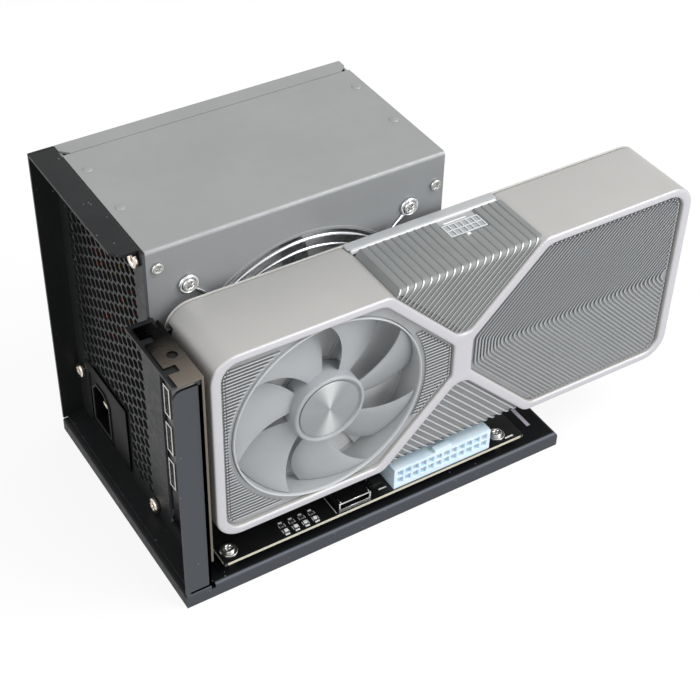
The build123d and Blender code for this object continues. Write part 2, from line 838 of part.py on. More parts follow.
def lobe_opening(gap, depth):
    # The left lobe's opening, drawn in by a gap and run back from the card's front
    band = frame_band + gap
    top = half_height - band
    end = -half_length + frame_end_band + gap
    turn = -notch_half - band * (sqrt(2) - 1)
    waist = -waist_band / 2 - gap
    shoulder = top - (waist - turn)
    with BuildPart() as part:
        with BuildSketch():
            with BuildLine():
                Polyline(
                    (end, top),
                    (turn, top),
                    (waist, shoulder),
                    (waist, -shoulder),
                    (turn, -top),
                    (end, -top),
                    close=True,
                )
            face = make_face()
            fillet(face.vertices(), opening_corner - gap)
        extrude(amount=-depth)
    return part.part


def notch_filling(gap, side):
    # The upper (1) or lower (-1) notch between the lobes, drawn in by a gap and run back from the front
    half = notch_half - gap * sqrt(2)
    with BuildPart() as part:
        with BuildSketch():
            with BuildLine():
                Polyline(
                    (-half, side * half_height),
                    (0, side * (half_height - half)),
                    (half, side * half_height),
                    close=True,
                )
            face = make_face()
            fillet(face.vertices().sort_by(Axis.X)[1], notch_corner - gap)
        extrude(amount=-card_depth)
    return part.part


card_pocket_front = card_board_front - card_pocket_gap
port_pocket_front = card_board_front - video_port_width - port_pocket_gap
port_pocket_end = video_port_depth + port_pocket_gap
card_board_low = deck_z + card_clear + card_board_margin
card_board_high = deck_z + card_top - card_board_margin


def card_board_pocket():
    # Room for the card's board and video ports, cut from the back of the current part
    block(
        wall_x,
        card_pocket_front,
        deck_z,
        card_board_reach + card_pocket_gap,
        card_back_y - card_pocket_front,
        card_board_high + card_pocket_gap - deck_z,
        Mode.SUBTRACT,
    )
    block(
        wall_x,
        port_pocket_front,
        deck_z + video_port_low - port_pocket_gap,
        port_pocket_end,
        card_back_y - port_pocket_front,
        video_ports * video_port_pitch,
        Mode.SUBTRACT,
    )


with BuildPart() as card_frame:
    with BuildSketch(card_plane):
        with BuildLine():
            Polyline(
                (-half_length, half_height),
                (-notch_half, half_height),
                (0, half_height - notch_half),
                (notch_half, half_height),
                (half_length, half_height),
                (half_length, -half_height),
                (notch_half, -half_height),
                (0, notch_half - half_height),
                (-notch_half, -half_height),
                (-half_length, -half_height),
                close=True,
            )
        outline = make_face()
        corners = outline.vertices().group_by(Axis.X)
        fillet([*corners[0], *corners[-1]], card_corner)
        fillet([*corners[1], *corners[-2]], lobe_corner)
        fillet(corners[2], notch_corner)
    extrude(amount=-frame_depth)
    chamfer(card_frame.faces().sort_by(Axis.Y)[0].edges(), frame_edge)
    with Locations(card_plane):
        add(lobe_opening(0, frame_depth), mode=Mode.SUBTRACT)
        add(mirror(lobe_opening(0, frame_depth), about=Plane.YZ, mode=Mode.PRIVATE), mode=Mode.SUBTRACT)
    card_board_pocket()
write(card_frame, "card_frame")

# Card fans: one in the front of the left lobe, one in the back of the right lobe
card_ring = opening_half - fan_fit
card_duct = card_ring - card_fan_ring
fan_side = half_length - card_fan_from_end
front_fan_plane = Plane(
    origin=(card_mid[0] - fan_side, front_y + card_fan_setback + card_fan_depth, card_mid[2]),
    x_dir=(1, 0, 0),
    z_dir=(0, -1, 0),
)
rear_fan_plane = Plane(
    origin=(card_mid[0] + fan_side, card_back_y - backplate - card_fan_depth, card_mid[2]),
    x_dir=(-1, 0, 0),
    z_dir=(0, 1, 0),
)
with BuildPart() as card_fan_body:
    with BuildSketch():
        RegularPolygon(card_ring, ring_sides)
        RegularPolygon(card_duct, ring_sides, mode=Mode.SUBTRACT)
    extrude(amount=card_fan_depth)
    add(fan_base_and_struts(card_hub_radius, card_duct + card_fan_ring / 2))

with BuildPart() as front_fan_mount:
    with Locations(front_fan_plane):
        add(card_fan_body.part)
write(front_fan_mount, "front_fan_mount")

with BuildPart() as rear_fan_mount:
    with Locations(rear_fan_plane):
        add(card_fan_body.part)
write(rear_fan_mount, "rear_fan_mount")

card_rotor = fan_rotor(card_hub_radius, card_duct - card_fan_gap, card_fan_depth, card_blades)
with BuildPart() as front_fan_rotor:
    with Locations(front_fan_plane):
        add(card_rotor)
write(front_fan_rotor, "front_fan_rotor")

with BuildPart() as rear_fan_rotor:
    with Locations(rear_fan_plane):
        add(card_rotor)
write(rear_fan_rotor, "rear_fan_rotor")

# Left lobe: level fins round the fan, on a cold plate
fin_plane = card_plane.offset(-fin_setback)
side_fin_depth = card_board_front - processor_thickness - cold_plate - front_y - fin_setback
side_fin_count = int(2 * opening_half / side_fin_pitch)
with BuildPart() as side_fins:
    with BuildSketch(fin_plane):
        with Locations((-half_length / 2, 0)):
            with GridLocations(0, side_fin_pitch, 1, side_fin_count):
                Rectangle(half_length, fin_thickness)
    extrude(amount=-side_fin_depth)
    with BuildSketch(fin_plane.offset(-side_fin_depth)):
        with Locations((-half_length / 2, 0)):
            Rectangle(half_length, card_height)
    extrude(amount=-cold_plate)
    with Locations(card_plane):
        add(lobe_opening(fin_fit, frame_depth), mode=Mode.INTERSECT)
    with BuildSketch(card_plane):
        with Locations((-fan_side, 0)):
            Circle(opening_half)
    extrude(amount=-(card_fan_setback + card_fan_depth), mode=Mode.SUBTRACT)
    card_board_pocket()
write(side_fins, "side_fins")

# Right lobe: nested chevron fins on flat heat pipes, in front of the rear fan
chevron_depth = frame_depth - card_fan_depth - fin_setback - pipe_thickness
chevron_width = fin_thickness * sqrt(2)
chevron_count = int((half_length - frame_end_band - waist_band / 2) / chevron_pitch)
with BuildPart() as chevron_fins:
    with BuildSketch(fin_plane):
        for chevron in range(chevron_count):
            apex = waist_band / 2 + (chevron + 0.5) * chevron_pitch
            arm_end = apex + half_height
            with BuildLine():
                Polyline(
                    (apex, 0),
                    (arm_end, half_height),
                    (arm_end + chevron_width, half_height),
                    (apex + chevron_width, 0),
                    (arm_end + chevron_width, -half_height),
                    (arm_end, -half_height),
                    close=True,
                )
            make_face()
    extrude(amount=-chevron_depth)
    with BuildSketch(fin_plane.offset(-chevron_depth)):
        with Locations((half_length / 2, 0)):
            with GridLocations(0, half_height / 2, 1, 3):
                Rectangle(half_length, pipe_width)
    extrude(amount=-pipe_thickness)
    with Locations(card_plane):
        right_opening = mirror(lobe_opening(fin_fit, frame_depth), about=Plane.YZ, mode=Mode.PRIVATE)
        add(right_opening, mode=Mode.INTERSECT)
write(chevron_fins, "chevron_fins")

# Notches: a comb of slanted plates on a plate along the notch's left side, above and below the waist
notch_depth = card_pocket_front - front_y - fin_setback
notch_fin_count = int(2 * notch_half / notch_fin_pitch)
plate_width = notch_plate * sqrt(2)
socket_origin = (
    card_mid[0] + power_socket_left,
    card_back_y - power_socket_back - power_socket_width,
    deck_z + card_top - power_socket_depth,
)


def notch_comb():
    # The upper notch's comb, seen from the card's front, with its front edge drawn back at the top
    with BuildPart() as part:
        with BuildSketch(Plane.XY.offset(-fin_setback)):
            with BuildLine():
                Polyline(
                    (-notch_half, half_height),
                    (0, half_height - notch_half),
                    (plate_width, half_height - notch_half + plate_width / 2),
                    (plate_width - notch_half, half_height),
                    close=True,
                )
            make_face()
            for fin in range(notch_fin_count):
                fin_top = notch_half - (fin + 0.5) * notch_fin_pitch
                fin_end = fin_top - 2 * notch_half
                with BuildLine():
                    Polyline(
                        (fin_top, half_height),
                        (fin_end, half_height - 2 * notch_half),
                        (fin_end + chevron_width, half_height - 2 * notch_half),
                        (fin_top + chevron_width, half_height),
                        close=True,
                    )
                make_face()
        extrude(amount=-notch_depth)
        add(notch_filling(fin_fit, 1), mode=Mode.INTERSECT)
        with BuildSketch(Plane.YZ):
            with Locations((0, -fin_setback - notch_depth)):
                side_view = Rectangle(half_height, notch_depth, align=CORNER)
            chamfer(side_view.vertices().group_by(Axis.Y)[-1].sort_by(Axis.X)[-1], notch_fin_edge)
        extrude(amount=notch_half, both=True, mode=Mode.INTERSECT)
    return part.part


with BuildPart() as notch_fins:
    with Locations(card_plane):
        add(notch_comb())
    block(
        socket_origin[0] - fin_fit,
        socket_origin[1] - fin_fit,
        socket_origin[2],
        power_socket_length + 2 * fin_fit,
        power_socket_width + 2 * fin_fit,
        power_socket_depth,
        Mode.SUBTRACT,
    )
write(notch_fins, "notch_fins")

with BuildPart() as lower_fins:
    with Locations(card_plane):
        add(mirror(notch_comb(), about=Plane.XZ, mode=Mode.PRIVATE))
write(lower_fins, "lower_fins")

# Card board with its edge connector, and the processor against the cold plate
finger_low = board_top + slot_height - slot_groove_depth + slot_clearance
with BuildPart() as card_board:
    block(
        wall_x + 2 * bracket_thickness,
        card_board_front,
        card_board_low,
        card_board_reach - 2 * bracket_thickness,
        card_board_thickness,
        card_board_high - card_board_low,
    )
    block(
        wall_x + card_finger_left,
        card_board_front,
        finger_low,
        card_finger_length,
        card_board_thickness,
        card_board_low - finger_low,
    )
write(card_board, "card_board")

with BuildPart() as graphics_processor:
    block(
        wall_x + card_board_reach / 2,
        card_board_front - processor_thickness,
        card_mid[2] - processor_size / 2,
        processor_size,
        processor_thickness,
        processor_size,
    )
write(graphics_processor, "graphics_processor")

with BuildPart() as card_backplate:
    with BuildSketch(card_plane.offset(-card_depth)):
        RectangleRounded(card_length, card_height, card_corner)
        with Locations((fan_side, 0)):
            RegularPolygon(card_duct, ring_sides, mode=Mode.SUBTRACT)
    extrude(amount=backplate)
write(card_backplate, "card_backplate")

# Bracket: plate against the wall, its feet, and the tab that rests on the wall's ledge
bracket_front = front_y - bracket_proud
bracket_low = deck_z + bracket_tip + bracket_foot
tab_z = deck_z + ledge_up
port_line = card_board_front - video_port_width / 2 - fan_y
port_mids = [
    (port_line, video_port_low + video_port_length / 2 + port * video_port_pitch)
    for port in range(video_ports)
]
with BuildPart() as card_bracket:
    block(
        wall_x,
        bracket_front,
        bracket_low,
        bracket_thickness,
        bracket_width,
        tab_z + bracket_thickness - bracket_low,
    )
    for foot in (0, 1):
        foot_y = bracket_front + bracket_notch_first + foot * slot_pitch - bracket_foot_width / 2
        block(wall_x, foot_y, deck_z + bracket_tip, bracket_thickness, bracket_foot_width, bracket_foot)
    with BuildSketch(Plane(origin=(wall_x - bracket_tab, bracket_front, tab_z))):
        Rectangle(bracket_tab + bracket_thickness, bracket_width, align=CORNER)
        with Locations((bracket_tab + bracket_thickness, bracket_width)):
            Rectangle(bracket_step, bracket_step_width, align=(Align.MAX, Align.MAX), mode=Mode.SUBTRACT)
        for notch in (0, 1):
            with Locations((0, bracket_notch_first + notch * slot_pitch)):
                Rectangle(2 * bracket_notch_depth, bracket_notch, mode=Mode.SUBTRACT)
        with Locations((bracket_hole_in, bracket_hole_front)):
            RegularPolygon(bracket_hole_radius, small_sides, mode=Mode.SUBTRACT)
    extrude(amount=bracket_thickness)
    with BuildSketch(wall_plane):
        with Locations(*port_mids):
            Rectangle(video_port_width + 2 * slot_clearance, video_port_length + 2 * slot_clearance)
    extrude(amount=bracket_thickness, mode=Mode.SUBTRACT)
write(card_bracket, "card_bracket")

with BuildPart() as video_sockets:
    with BuildSketch(wall_plane.offset(-video_port_proud)):
        with Locations(*port_mids):
            Rectangle(video_port_width, video_port_length)
    extrude(amount=video_port_depth)
    with BuildSketch(wall_plane.offset(-video_port_proud)):
        with Locations(*port_mids):
            Rectangle(video_port_width - 2 * video_port_shell, video_port_length - 2 * video_port_shell)
    extrude(amount=video_port_depth - video_port_shell, mode=Mode.SUBTRACT)
write(video_sockets, "video_sockets")

# Power socket let into the upper notch
cell_length = (power_socket_length - power_socket_wall) / power_socket_columns
cell_width = (power_socket_width - power_socket_wall) / 2
socket_middle = (socket_origin[0] + power_socket_length / 2, socket_origin[1] + power_socket_width / 2)
with BuildPart() as power_socket:
    block(*socket_origin, power_socket_length, power_socket_width, power_socket_depth)
    with BuildSketch(Plane.XY.offset(deck_z + card_top)):
        with Locations(socket_middle):
            with GridLocations(cell_length, cell_width, power_socket_columns, 2):
                Rectangle(cell_length - power_socket_wall, cell_width - power_socket_wall)
    extrude(amount=power_socket_wall - power_socket_depth, mode=Mode.SUBTRACT)
write(power_socket, "power_socket")
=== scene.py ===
"""Looks of the open graphics card enclosure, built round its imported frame.

Shapes are written in millimetres in the frame's own axes and scaled to metres when they become pieces.
"""

import math

import bmesh
import bpy
from mathutils import Matrix, Vector


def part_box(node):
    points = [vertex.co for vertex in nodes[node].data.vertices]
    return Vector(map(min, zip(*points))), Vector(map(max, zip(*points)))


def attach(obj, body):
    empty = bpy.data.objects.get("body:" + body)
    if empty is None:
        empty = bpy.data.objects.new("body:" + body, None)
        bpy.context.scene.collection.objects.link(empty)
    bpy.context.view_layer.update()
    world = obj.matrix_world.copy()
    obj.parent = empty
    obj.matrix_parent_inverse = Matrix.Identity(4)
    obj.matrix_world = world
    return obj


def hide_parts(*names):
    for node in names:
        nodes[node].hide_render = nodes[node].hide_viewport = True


MM = 0.001
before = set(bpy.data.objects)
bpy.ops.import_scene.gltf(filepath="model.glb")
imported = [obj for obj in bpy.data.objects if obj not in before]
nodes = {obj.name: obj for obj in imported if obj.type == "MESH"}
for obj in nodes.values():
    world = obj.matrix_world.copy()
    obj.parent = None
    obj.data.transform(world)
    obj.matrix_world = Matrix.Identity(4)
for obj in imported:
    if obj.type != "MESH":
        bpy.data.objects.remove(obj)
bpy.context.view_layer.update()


def low(node):
    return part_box(node)[0] / MM


def high(node):
    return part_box(node)[1] / MM


def ends(node):
    return low(node), high(node)


def mid(node):
    return (low(node) + high(node)) / 2


# Places that the frame gives, in millimetres
wall_x = low("supply_case").x
fan_y = low("supply_cover").y
deck_z = low("supply_case").z
back_y = high("supply_case").y
supply_top = high("supply_case").z
supply_mid_x = (low("supply_cover").x + high("supply_cover").x) / 2
supply_fan_z = (low("supply_fan_frame").z + high("supply_fan_frame").z) / 2
left_x = low("rear_wall").x
front_y = low("card_frame").y
card_back = high("card_frame").y
card_mid = mid("card_frame")
card_half = (high("card_frame") - low("card_frame")) / 2
half_length = card_half.x
half_height = card_half.z
front_fan = mid("front_fan_mount")
rear_fan = mid("rear_fan_mount")
board_low, board_high = ends("dock_board")
board_top = board_high.z
inlet_low, inlet_high = ends("mains_inlet")
socket_low, socket_high = ends("power_socket")


# Shader parts. Colours are written as they look on a screen, from 0 to 255
def screen(colour):
    """The shader's colour for one on a screen."""
    return (*(((c / 255 + 0.055) / 1.055) ** 2.4 if c > 10 else c / 255 / 12.92 for c in colour), 1)


def shifted(colour, change):
    """A colour with one change added to all its parts, or a change to each."""
    changes = change if isinstance(change, tuple) else (change, change, change)
    return tuple(c + step for c, step in zip(colour, changes))


def shader_of(made):
    return made.node_tree.nodes["Principled BSDF"]


def feed(made, new, inputs):
    """Gives inputs of a node their values or the outputs of other nodes."""
    for socket, value in inputs.items():
        if isinstance(value, bpy.types.NodeSocket):
            made.node_tree.links.new(value, new.inputs[socket])
        else:
            new.inputs[socket].default_value = value


def paint(made, tone):
    feed(made, shader_of(made), {"Base Color": tone})
    return made


def add_node(made, kind, output, inputs=None, **settings):
    """Adds a shader node and hands back one of its outputs."""
    new = made.node_tree.nodes.new("ShaderNode" + kind)
    for name, value in settings.items():
        setattr(new, name, value)
    feed(made, new, inputs or {})
    return new.outputs[output]


def calc(made, operation, *values, kind="Math", output="Value"):
    return add_node(made, kind, output, dict(enumerate(values)), operation=operation)


def stretched(made, value, start, end, first=0.0, last=1.0):
    """A value carried from one range to another and held at its ends."""
    limits = {"From Min": start, "From Max": end, "To Min": first, "To Max": last}
    return add_node(made, "MapRange", "Result", {"Value": value, **limits})


def mixed(made, share, first, second):
    return add_node(made, "Mix", "Result", {"Factor": share, "A": first, "B": second}, data_type="RGBA")


def along_y(made, kind, output):
    """How far along Y a place lies or a face looks."""
    return add_node(made, "SeparateXYZ", "Y", {"Vector": add_node(made, kind, output)})


def colour_ramp(made, value, *stops):
    ramp = made.node_tree.nodes.new("ShaderNodeValToRGB")
    for place, _ in stops[1:-1]:
        ramp.color_ramp.elements.new(place)
    for stop, (place, colour) in zip(ramp.color_ramp.elements, stops):
        stop.position = place
        stop.color = screen(colour)
    feed(made, ramp, {"Fac": value})
    return ramp.outputs["Color"]


def noise(made, scale, detail=3.0):
    place = add_node(made, "TexCoord", "Object")
    return add_node(made, "TexNoise", "Fac", {"Vector": place, "Scale": scale, "Detail": detail})


noise_range = (0.3, 0.7)


def mottled(made, scale, dark, light, detail=3.0):
    stops = zip(noise_range, (dark, light))
    return colour_ramp(made, noise(made, scale, detail), *stops)


front_turn = (-0.95, -0.4)


def painted_light_tone(made, front, other, behind=None, bend=None):
    """Painted light: one colour for faces that look to the front, one for the rest and for faces behind a
    place, which stay in painted shade, and a painted highlight for the bend.
    """
    share = stretched(made, along_y(made, "NewGeometry", "Normal"), *front_turn)
    # painted shade: front faces behind this place keep the other, darker colour
    if behind is not None:
        further = calc(made, "GREATER_THAN", along_y(made, "TexCoord", "Object"), behind * MM)
        share = calc(made, "MAXIMUM", share, further)
    tone = mixed(made, share, screen(front), other)
    if bend is None:
        return tone
    # painted highlight on the bend between the front and the top
    bend_highlight_share = colour_ramp(made, share, (0.02, (0, 0, 0)), (0.4, (255, 255, 255)), (0.95, (0, 0, 0)))
    return mixed(made, bend_highlight_share, tone, screen(bend))


# Materials
def finish(name, colour, roughness, metallic=0.0, bump=None, gloss=None, mottle=None, **inputs):
    """Material with bumps (scale, height), gloss (scale, least, most) and mottle (scale, dark, light)."""
    made = bpy.data.materials.new(name)
    made.use_nodes = True
    plain = {"Base Color": screen(colour), "Roughness": roughness, "Metallic": metallic}
    plain.update((socket.replace("_", " "), value) for socket, value in inputs.items())
    feed(made, shader_of(made), plain)
    if bump:
        scale, height = bump
        relief = {"Strength": 1.0, "Distance": height * MM, "Height": noise(made, scale)}
        feed(made, shader_of(made), {"Normal": add_node(made, "Bump", "Normal", relief)})
    if gloss:
        scale, smooth, rough = gloss
        uneven = stretched(made, noise(made, scale), *noise_range, smooth, rough)
        feed(made, shader_of(made), {"Roughness": uneven})
    if mottle:
        scale, dark, light = mottle
        paint(made, mottled(made, scale, shifted(colour, dark), shifted(colour, light), 4.0))
    return made


speck_colour = (150, 156, 168)
speck_scale = 210
speck_edge = (0.035, 0.08)
speck_weight = 0.6
# front faces behind this place get no front colour: painted shade
coat_painted_shade_y = -20


def powder_coat(name, dark, light, sheen, front, bend):
    """Black orange peel with sparse pale specks; front faces lighter by painted light, bends with a painted
    highlight, and faces further back in painted shade.
    """
    made = finish(name, dark, 0.4, bump=(1500, 0.04), gloss=(300, 0.32, 0.44), Specular_IOR_Level=sheen)
    tone = painted_light_tone(made, front, mottled(made, 60, dark, light), coat_painted_shade_y, bend)
    place = add_node(made, "TexCoord", "Object")
    cells = add_node(made, "TexVoronoi", "Distance", {"Vector": place, "Scale": speck_scale})
    speck = stretched(made, cells, *speck_edge, speck_weight, 0.0)
    return paint(made, mixed(made, speck, tone, screen(speck_colour)))


def painted_front_light_metal(name, front, other, roughness, metallic, **finishes):
    """Metal whose front faces and other faces are lit and shaded copies of one colour: painted light."""
    made = finish(name, front, roughness, metallic, **finishes)
    return paint(made, painted_light_tone(made, front, mottled(made, 25, other, shifted(other, 5))))


def painted_fold_highlight_metal(name, top, turned, front):
    """Fin metal: plain tops, fronts in a colour of their own by painted light, and a painted highlight, a
    bright line where one turns into the other.
    """
    made = finish(name, front, 0.34, 0.2, gloss=(250, 0.28, 0.4))
    share = stretched(made, along_y(made, "NewGeometry", "Normal"), -1.0, 0.0)
    # turned is the painted highlight where the top turns into the front
    return paint(made, colour_ramp(made, share, (0.02, front), (0.25, turned), (0.7, top)))


def painted_reflection_nickel(name, dark, light, back, front):
    """Bright nickel that darkens away from its front end: a painted reflection, bright at the front and dark
    at the back.
    """
    made = finish(name, dark, 0.26, 1.0, gloss=(200, 0.2, 0.36))
    share = stretched(made, along_y(made, "TexCoord", "Object"), back * MM, front * MM)
    return paint(made, colour_ramp(made, share, (0.0, dark), (1.0, light)))


def painted_shine_metal(name, dark, light):
    """Fine rings about the disc's own axis give it a real anisotropic shine; the bright bands above and
    below its middle, with their streaks, are a painted highlight.
    """
    made = finish(name, dark, 0.36, 0.7, Anisotropic=0.6)
    tangent = add_node(made, "Tangent", "Tangent", direction_type="RADIAL", axis="Y")
    feed(made, shader_of(made), {"Tangent": tangent})
    vector = {"kind": "VectorMath", "output": "Vector"}
    centred = calc(made, "SUBTRACT", add_node(made, "TexCoord", "Generated"), (0.5, 0.5, 0.5), **vector)
    spoke = calc(made, "NORMALIZE", calc(made, "MULTIPLY", centred, (1, 0, 1), **vector), **vector)
    # painted highlight: bright bands above and below the middle, streaked by angle
    shine_streaks = add_node(made, "TexNoise", "Fac", {"Vector": spoke, "Scale": 9.0})
    upright = calc(made, "ABSOLUTE", add_node(made, "SeparateXYZ", "Z", {"Vector": spoke}))
    painted_shine = calc(made, "MULTIPLY_ADD", shine_streaks, 0.18, calc(made, "POWER", upright, 14.0))
    return paint(made, colour_ramp(made, painted_shine, (0.1, dark), (1.0, light)))


# Chassis and tray: painted light on front faces, painted highlight on bends, painted shade further back
coat_painted_front_light = (72, 75, 80)
chassis_coat = powder_coat("chassis_coat", (29, 30, 31), (34, 35, 36), 0.14, coat_painted_front_light, (96, 100, 107))
tray_coat = powder_coat("tray_coat", (18, 19, 21), (22, 23, 25), 0.06, coat_painted_front_light, (104, 109, 117))
inlet_black = finish(
    "inlet_black", (11, 11, 12), 0.45, bump=(800, 0.03), mottle=(200, -2, 2), Specular_IOR_Level=0.08
)
# Supply sheet: front and other faces in two nearly equal colours, painted light
supply_sheet = painted_front_light_metal(
    "supply_sheet", (141, 143, 145), (143, 144, 144), 0.46, 0.3, bump=(900, 0.012), gloss=(140, 0.38, 0.52)
)
nickel = finish("nickel", (222, 212, 200), 0.2, 1.0, gloss=(500, 0.14, 0.32))
wire_chrome = finish("wire_chrome", (225, 227, 230), 0.16, 1.0, gloss=(400, 0.12, 0.25))
steel = finish("steel", (206, 206, 204), 0.24, 1.0, gloss=(500, 0.18, 0.34))
supply_fan_grey = finish("supply_fan_grey", (236, 238, 240), 0.42, bump=(700, 0.015), mottle=(40, -5, 4))
card_fan_grey = finish("card_fan_grey", (160, 163, 166), 0.38, bump=(900, 0.012), mottle=(30, -4, 4))
ring_grey = finish("ring_grey", (186, 189, 191), 0.4, bump=(900, 0.012), mottle=(30, -4, 4))
black_plastic = finish("black_plastic", (20, 20, 22), 0.4, bump=(800, 0.03), gloss=(200, 0.32, 0.5))
rubber = finish("rubber", (26, 26, 27), 0.7, bump=(600, 0.05))
brass_pin = finish("brass_pin", (224, 214, 190), 0.25, 1.0, gloss=(400, 0.2, 0.35))
mask_coat = {"Coat_Weight": 0.4, "Coat_Roughness": 0.2}
solder_mask = finish(
    "solder_mask", (12, 13, 13), 0.3, bump=(400, 0.02), mottle=(120, -2, (4, 5, 4)), **mask_coat
)
laminate_edge = finish("laminate_edge", (206, 202, 184), 0.6, mottle=(500, (-10, -10, -12), (8, 9, 10)))
supply_laminate = finish("supply_laminate", (128, 104, 58), 0.5, mottle=(200, (-10, -10, -8), (12, 12, 10)))
nylon_glow = {"Subsurface_Weight": 0.2, "Subsurface_Scale": 0.002}
nylon = finish(
    "nylon", (220, 239, 254), 0.34, bump=(500, 0.02), mottle=(160, (-6, -4, -1), (6, 4, 1)), **nylon_glow
)
port_metal = finish("port_metal", (206, 206, 204), 0.22, 1.0, gloss=(300, 0.16, 0.3))
lamp_white = finish("lamp_white", (226, 228, 226), 0.35, mottle=(900, (-12, -12, -14), 10))
chip_black = finish("chip_black", (30, 31, 32), 0.5, bump=(1200, 0.03))
# Card metals: front faces and the rest in lit and shaded copies of one colour, painted light
card_alloy = painted_front_light_metal("card_alloy", (198, 197, 202), (169, 168, 166), 0.44, 0.3, bump=(2600, 0.02))
fin_gloss = (250, 0.28, 0.4)
fin_alloy = painted_front_light_metal("fin_alloy", (192, 194, 196), (128, 130, 132), 0.34, 0.2, gloss=fin_gloss)
nested_alloy = painted_front_light_metal("nested_alloy", (164, 166, 168), (140, 142, 144), 0.34, 0.2, gloss=fin_gloss)
# Pale backing: painted light that lifts the shade seen between the fan's blades
painted_light_backing = finish("painted_light_backing", (220, 221, 222), 0.5, bump=(600, 0.02), mottle=(60, -4, 4))
# Mid grey of the fin floors and duct linings: painted shade standing in for the shade in gaps and ducts; the
# socket body uses it too
fin_floor = finish("fin_floor", (160, 162, 164), 0.5, bump=(600, 0.02), mottle=(90, -4, 4))
# Comb plates: grey tops, a painted highlight where they turn, and a front colour of painted light
comb_alloy = painted_fold_highlight_metal("comb_alloy", (124, 126, 126), (246, 247, 248), (186, 188, 189))
# Comb fillers: painted shade, grey standing in for the shade between the plates
comb_floor = finish("comb_floor", (123, 125, 125), 0.45, bump=(600, 0.02), mottle=(90, -3, 3))
lower_floor = finish("lower_floor", (141, 143, 145), 0.48, bump=(600, 0.02), mottle=(90, -4, 4))
pale_alloy = finish("pale_alloy", (220, 221, 222), 0.36, 0.2, gloss=(250, 0.3, 0.44), mottle=(90, -6, 6))
# Hub disc: painted highlight above and below its middle
hub_disc = painted_shine_metal("hub_disc", (150, 153, 155), (208, 210, 211))
# bracket: painted reflection, dark at the back and bright at the front
bracket_nickel = painted_reflection_nickel("bracket_nickel", (22, 21, 20), (122, 114, 105), back=-36, front=-65)
back_alloy = finish("back_alloy", (168, 170, 172), 0.42, 0.2, bump=(900, 0.012), mottle=(30, -4, 4))
plate_alloy = finish("plate_alloy", (196, 195, 192), 0.44, 0.3, bump=(2600, 0.02), mottle=(25, -4, 4))
slot_light = finish("slot_light", (206, 200, 216), 0.6, mottle=(300, -8, 8))
copper = finish("copper", (236, 96, 44), 0.34, 0.3, gloss=(700, 0.26, 0.42))
yellow_wire = finish("yellow_wire", (240, 200, 48), 0.42, mottle=(400, (-8, -10, -8), (6, 10, 16)))
sleeve = finish("sleeve", (36, 40, 52), 0.35, gloss=(300, 0.28, 0.42))
sink_alloy = finish("sink_alloy", (168, 170, 172), 0.4, 0.7, gloss=(300, 0.32, 0.5))
ferrite = finish("ferrite", (52, 50, 48), 0.65, bump=(900, 0.06))
silk_white = finish("silk_white", (222, 224, 222), 0.6, mottle=(1500, -16, 10))
port_black = finish("port_black", (24, 24, 26), 0.3, 0.5, gloss=(300, 0.24, 0.4))
socket_grey = finish("socket_grey", (196, 199, 201), 0.4, bump=(800, 0.02))
solder = finish("solder", (196, 198, 198), 0.28, 0.9, gloss=(900, 0.2, 0.4))

# Finish of each CAD node that is shown as it is
node_finish = {
    "base_tray": tray_coat,
    "supply_case": supply_sheet,
    "supply_cover": supply_sheet,
    "supply_fan_frame": supply_fan_grey,
    "mains_inlet": inlet_black,
    "supply_spacers": brass_pin,
    "supply_board": supply_laminate,
    "supply_transformer": yellow_wire,
    "supply_capacitors": sleeve,
    "supply_heatsinks": sink_alloy,
    "board_standoffs": brass_pin,
    "dock_board": solder_mask,
    "card_slot": black_plastic,
    "power_header": nylon,
    "data_port": port_black,
    "data_port_tongue": black_plastic,
    "status_lamps": lamp_white,
    "resistors": chip_black,
    "control_chips": chip_black,
    "card_board": solder_mask,
    "graphics_processor": chip_black,
    "card_backplate": plate_alloy,
    "card_bracket": bracket_nickel,
    "video_sockets": port_metal,
}
for shown, coat_used in node_finish.items():
    nodes[shown].data.materials.clear()
    nodes[shown].data.materials.append(coat_used)

# Mesh builders
quarter_turn = [math.pi / 2 * step / 6 for step in range(7)]


def facing(origin, across, up):
    """Matrix of a plane: local X runs across, local Y up and local Z out of the plane."""
    across = Vector(across)
    up = Vector(up)
    axes = Matrix((across, up, across.cross(up))).transposed().to_4x4()
    return Matrix.Translation(origin) @ axes


def wall_plane(x):
    return facing((x, 0, 0), (0, 1, 0), (0, 0, 1))


def front_plane(y, x=0, z=0):
    """Seen from the front: local X is X, local Y is Z, local Z comes towards the viewer."""
    return facing((x, y, z), (1, 0, 0), (0, 0, 1))


def floor_plane(z):
    return Matrix.Translation((0, 0, z))


def rounded(corners, steps=8):
    """Closed outline through corners (x, y, radius), with an arc at each corner that has a radius."""
    loop = []
    for index, (x, y, radius) in enumerate(corners):
        corner = Vector((x, y))
        if radius <= 0:
            loop.append((x, y))
            continue
        back = (Vector(corners[index - 1][:2]) - corner).normalized()
        ahead = (Vector(corners[(index + 1) % len(corners)][:2]) - corner).normalized()
        half = back.angle(ahead) / 2
        centre = corner + (back + ahead).normalized() * radius / math.sin(half)
        start = corner + back * radius / math.tan(half) - centre
        end = corner + ahead * radius / math.tan(half) - centre
        turn = math.pi - 2 * half
        for step in range(steps + 1):
            share = step / steps
            spoke = start * math.sin((1 - share) * turn) + end * math.sin(share * turn)
            loop.append(tuple(centre + spoke / math.sin(turn)))
    return loop


def with_lower(corners):
    """Corners (x, y, radius) of an upper half, followed by those of the lower half that mirrors it."""
    return corners + [(x, -y, radius) for x, y, radius in corners[::-1]]


def circle(x, y, radius, sides):
    angles = [math.tau * side / sides for side in range(sides)]
    return [(x + radius * math.cos(a), y + radius * math.sin(a)) for a in angles]


def rectangle(x0, y0, x1, y1):
    return [(x0, y0), (x1, y0), (x1, y1), (x0, y1)]


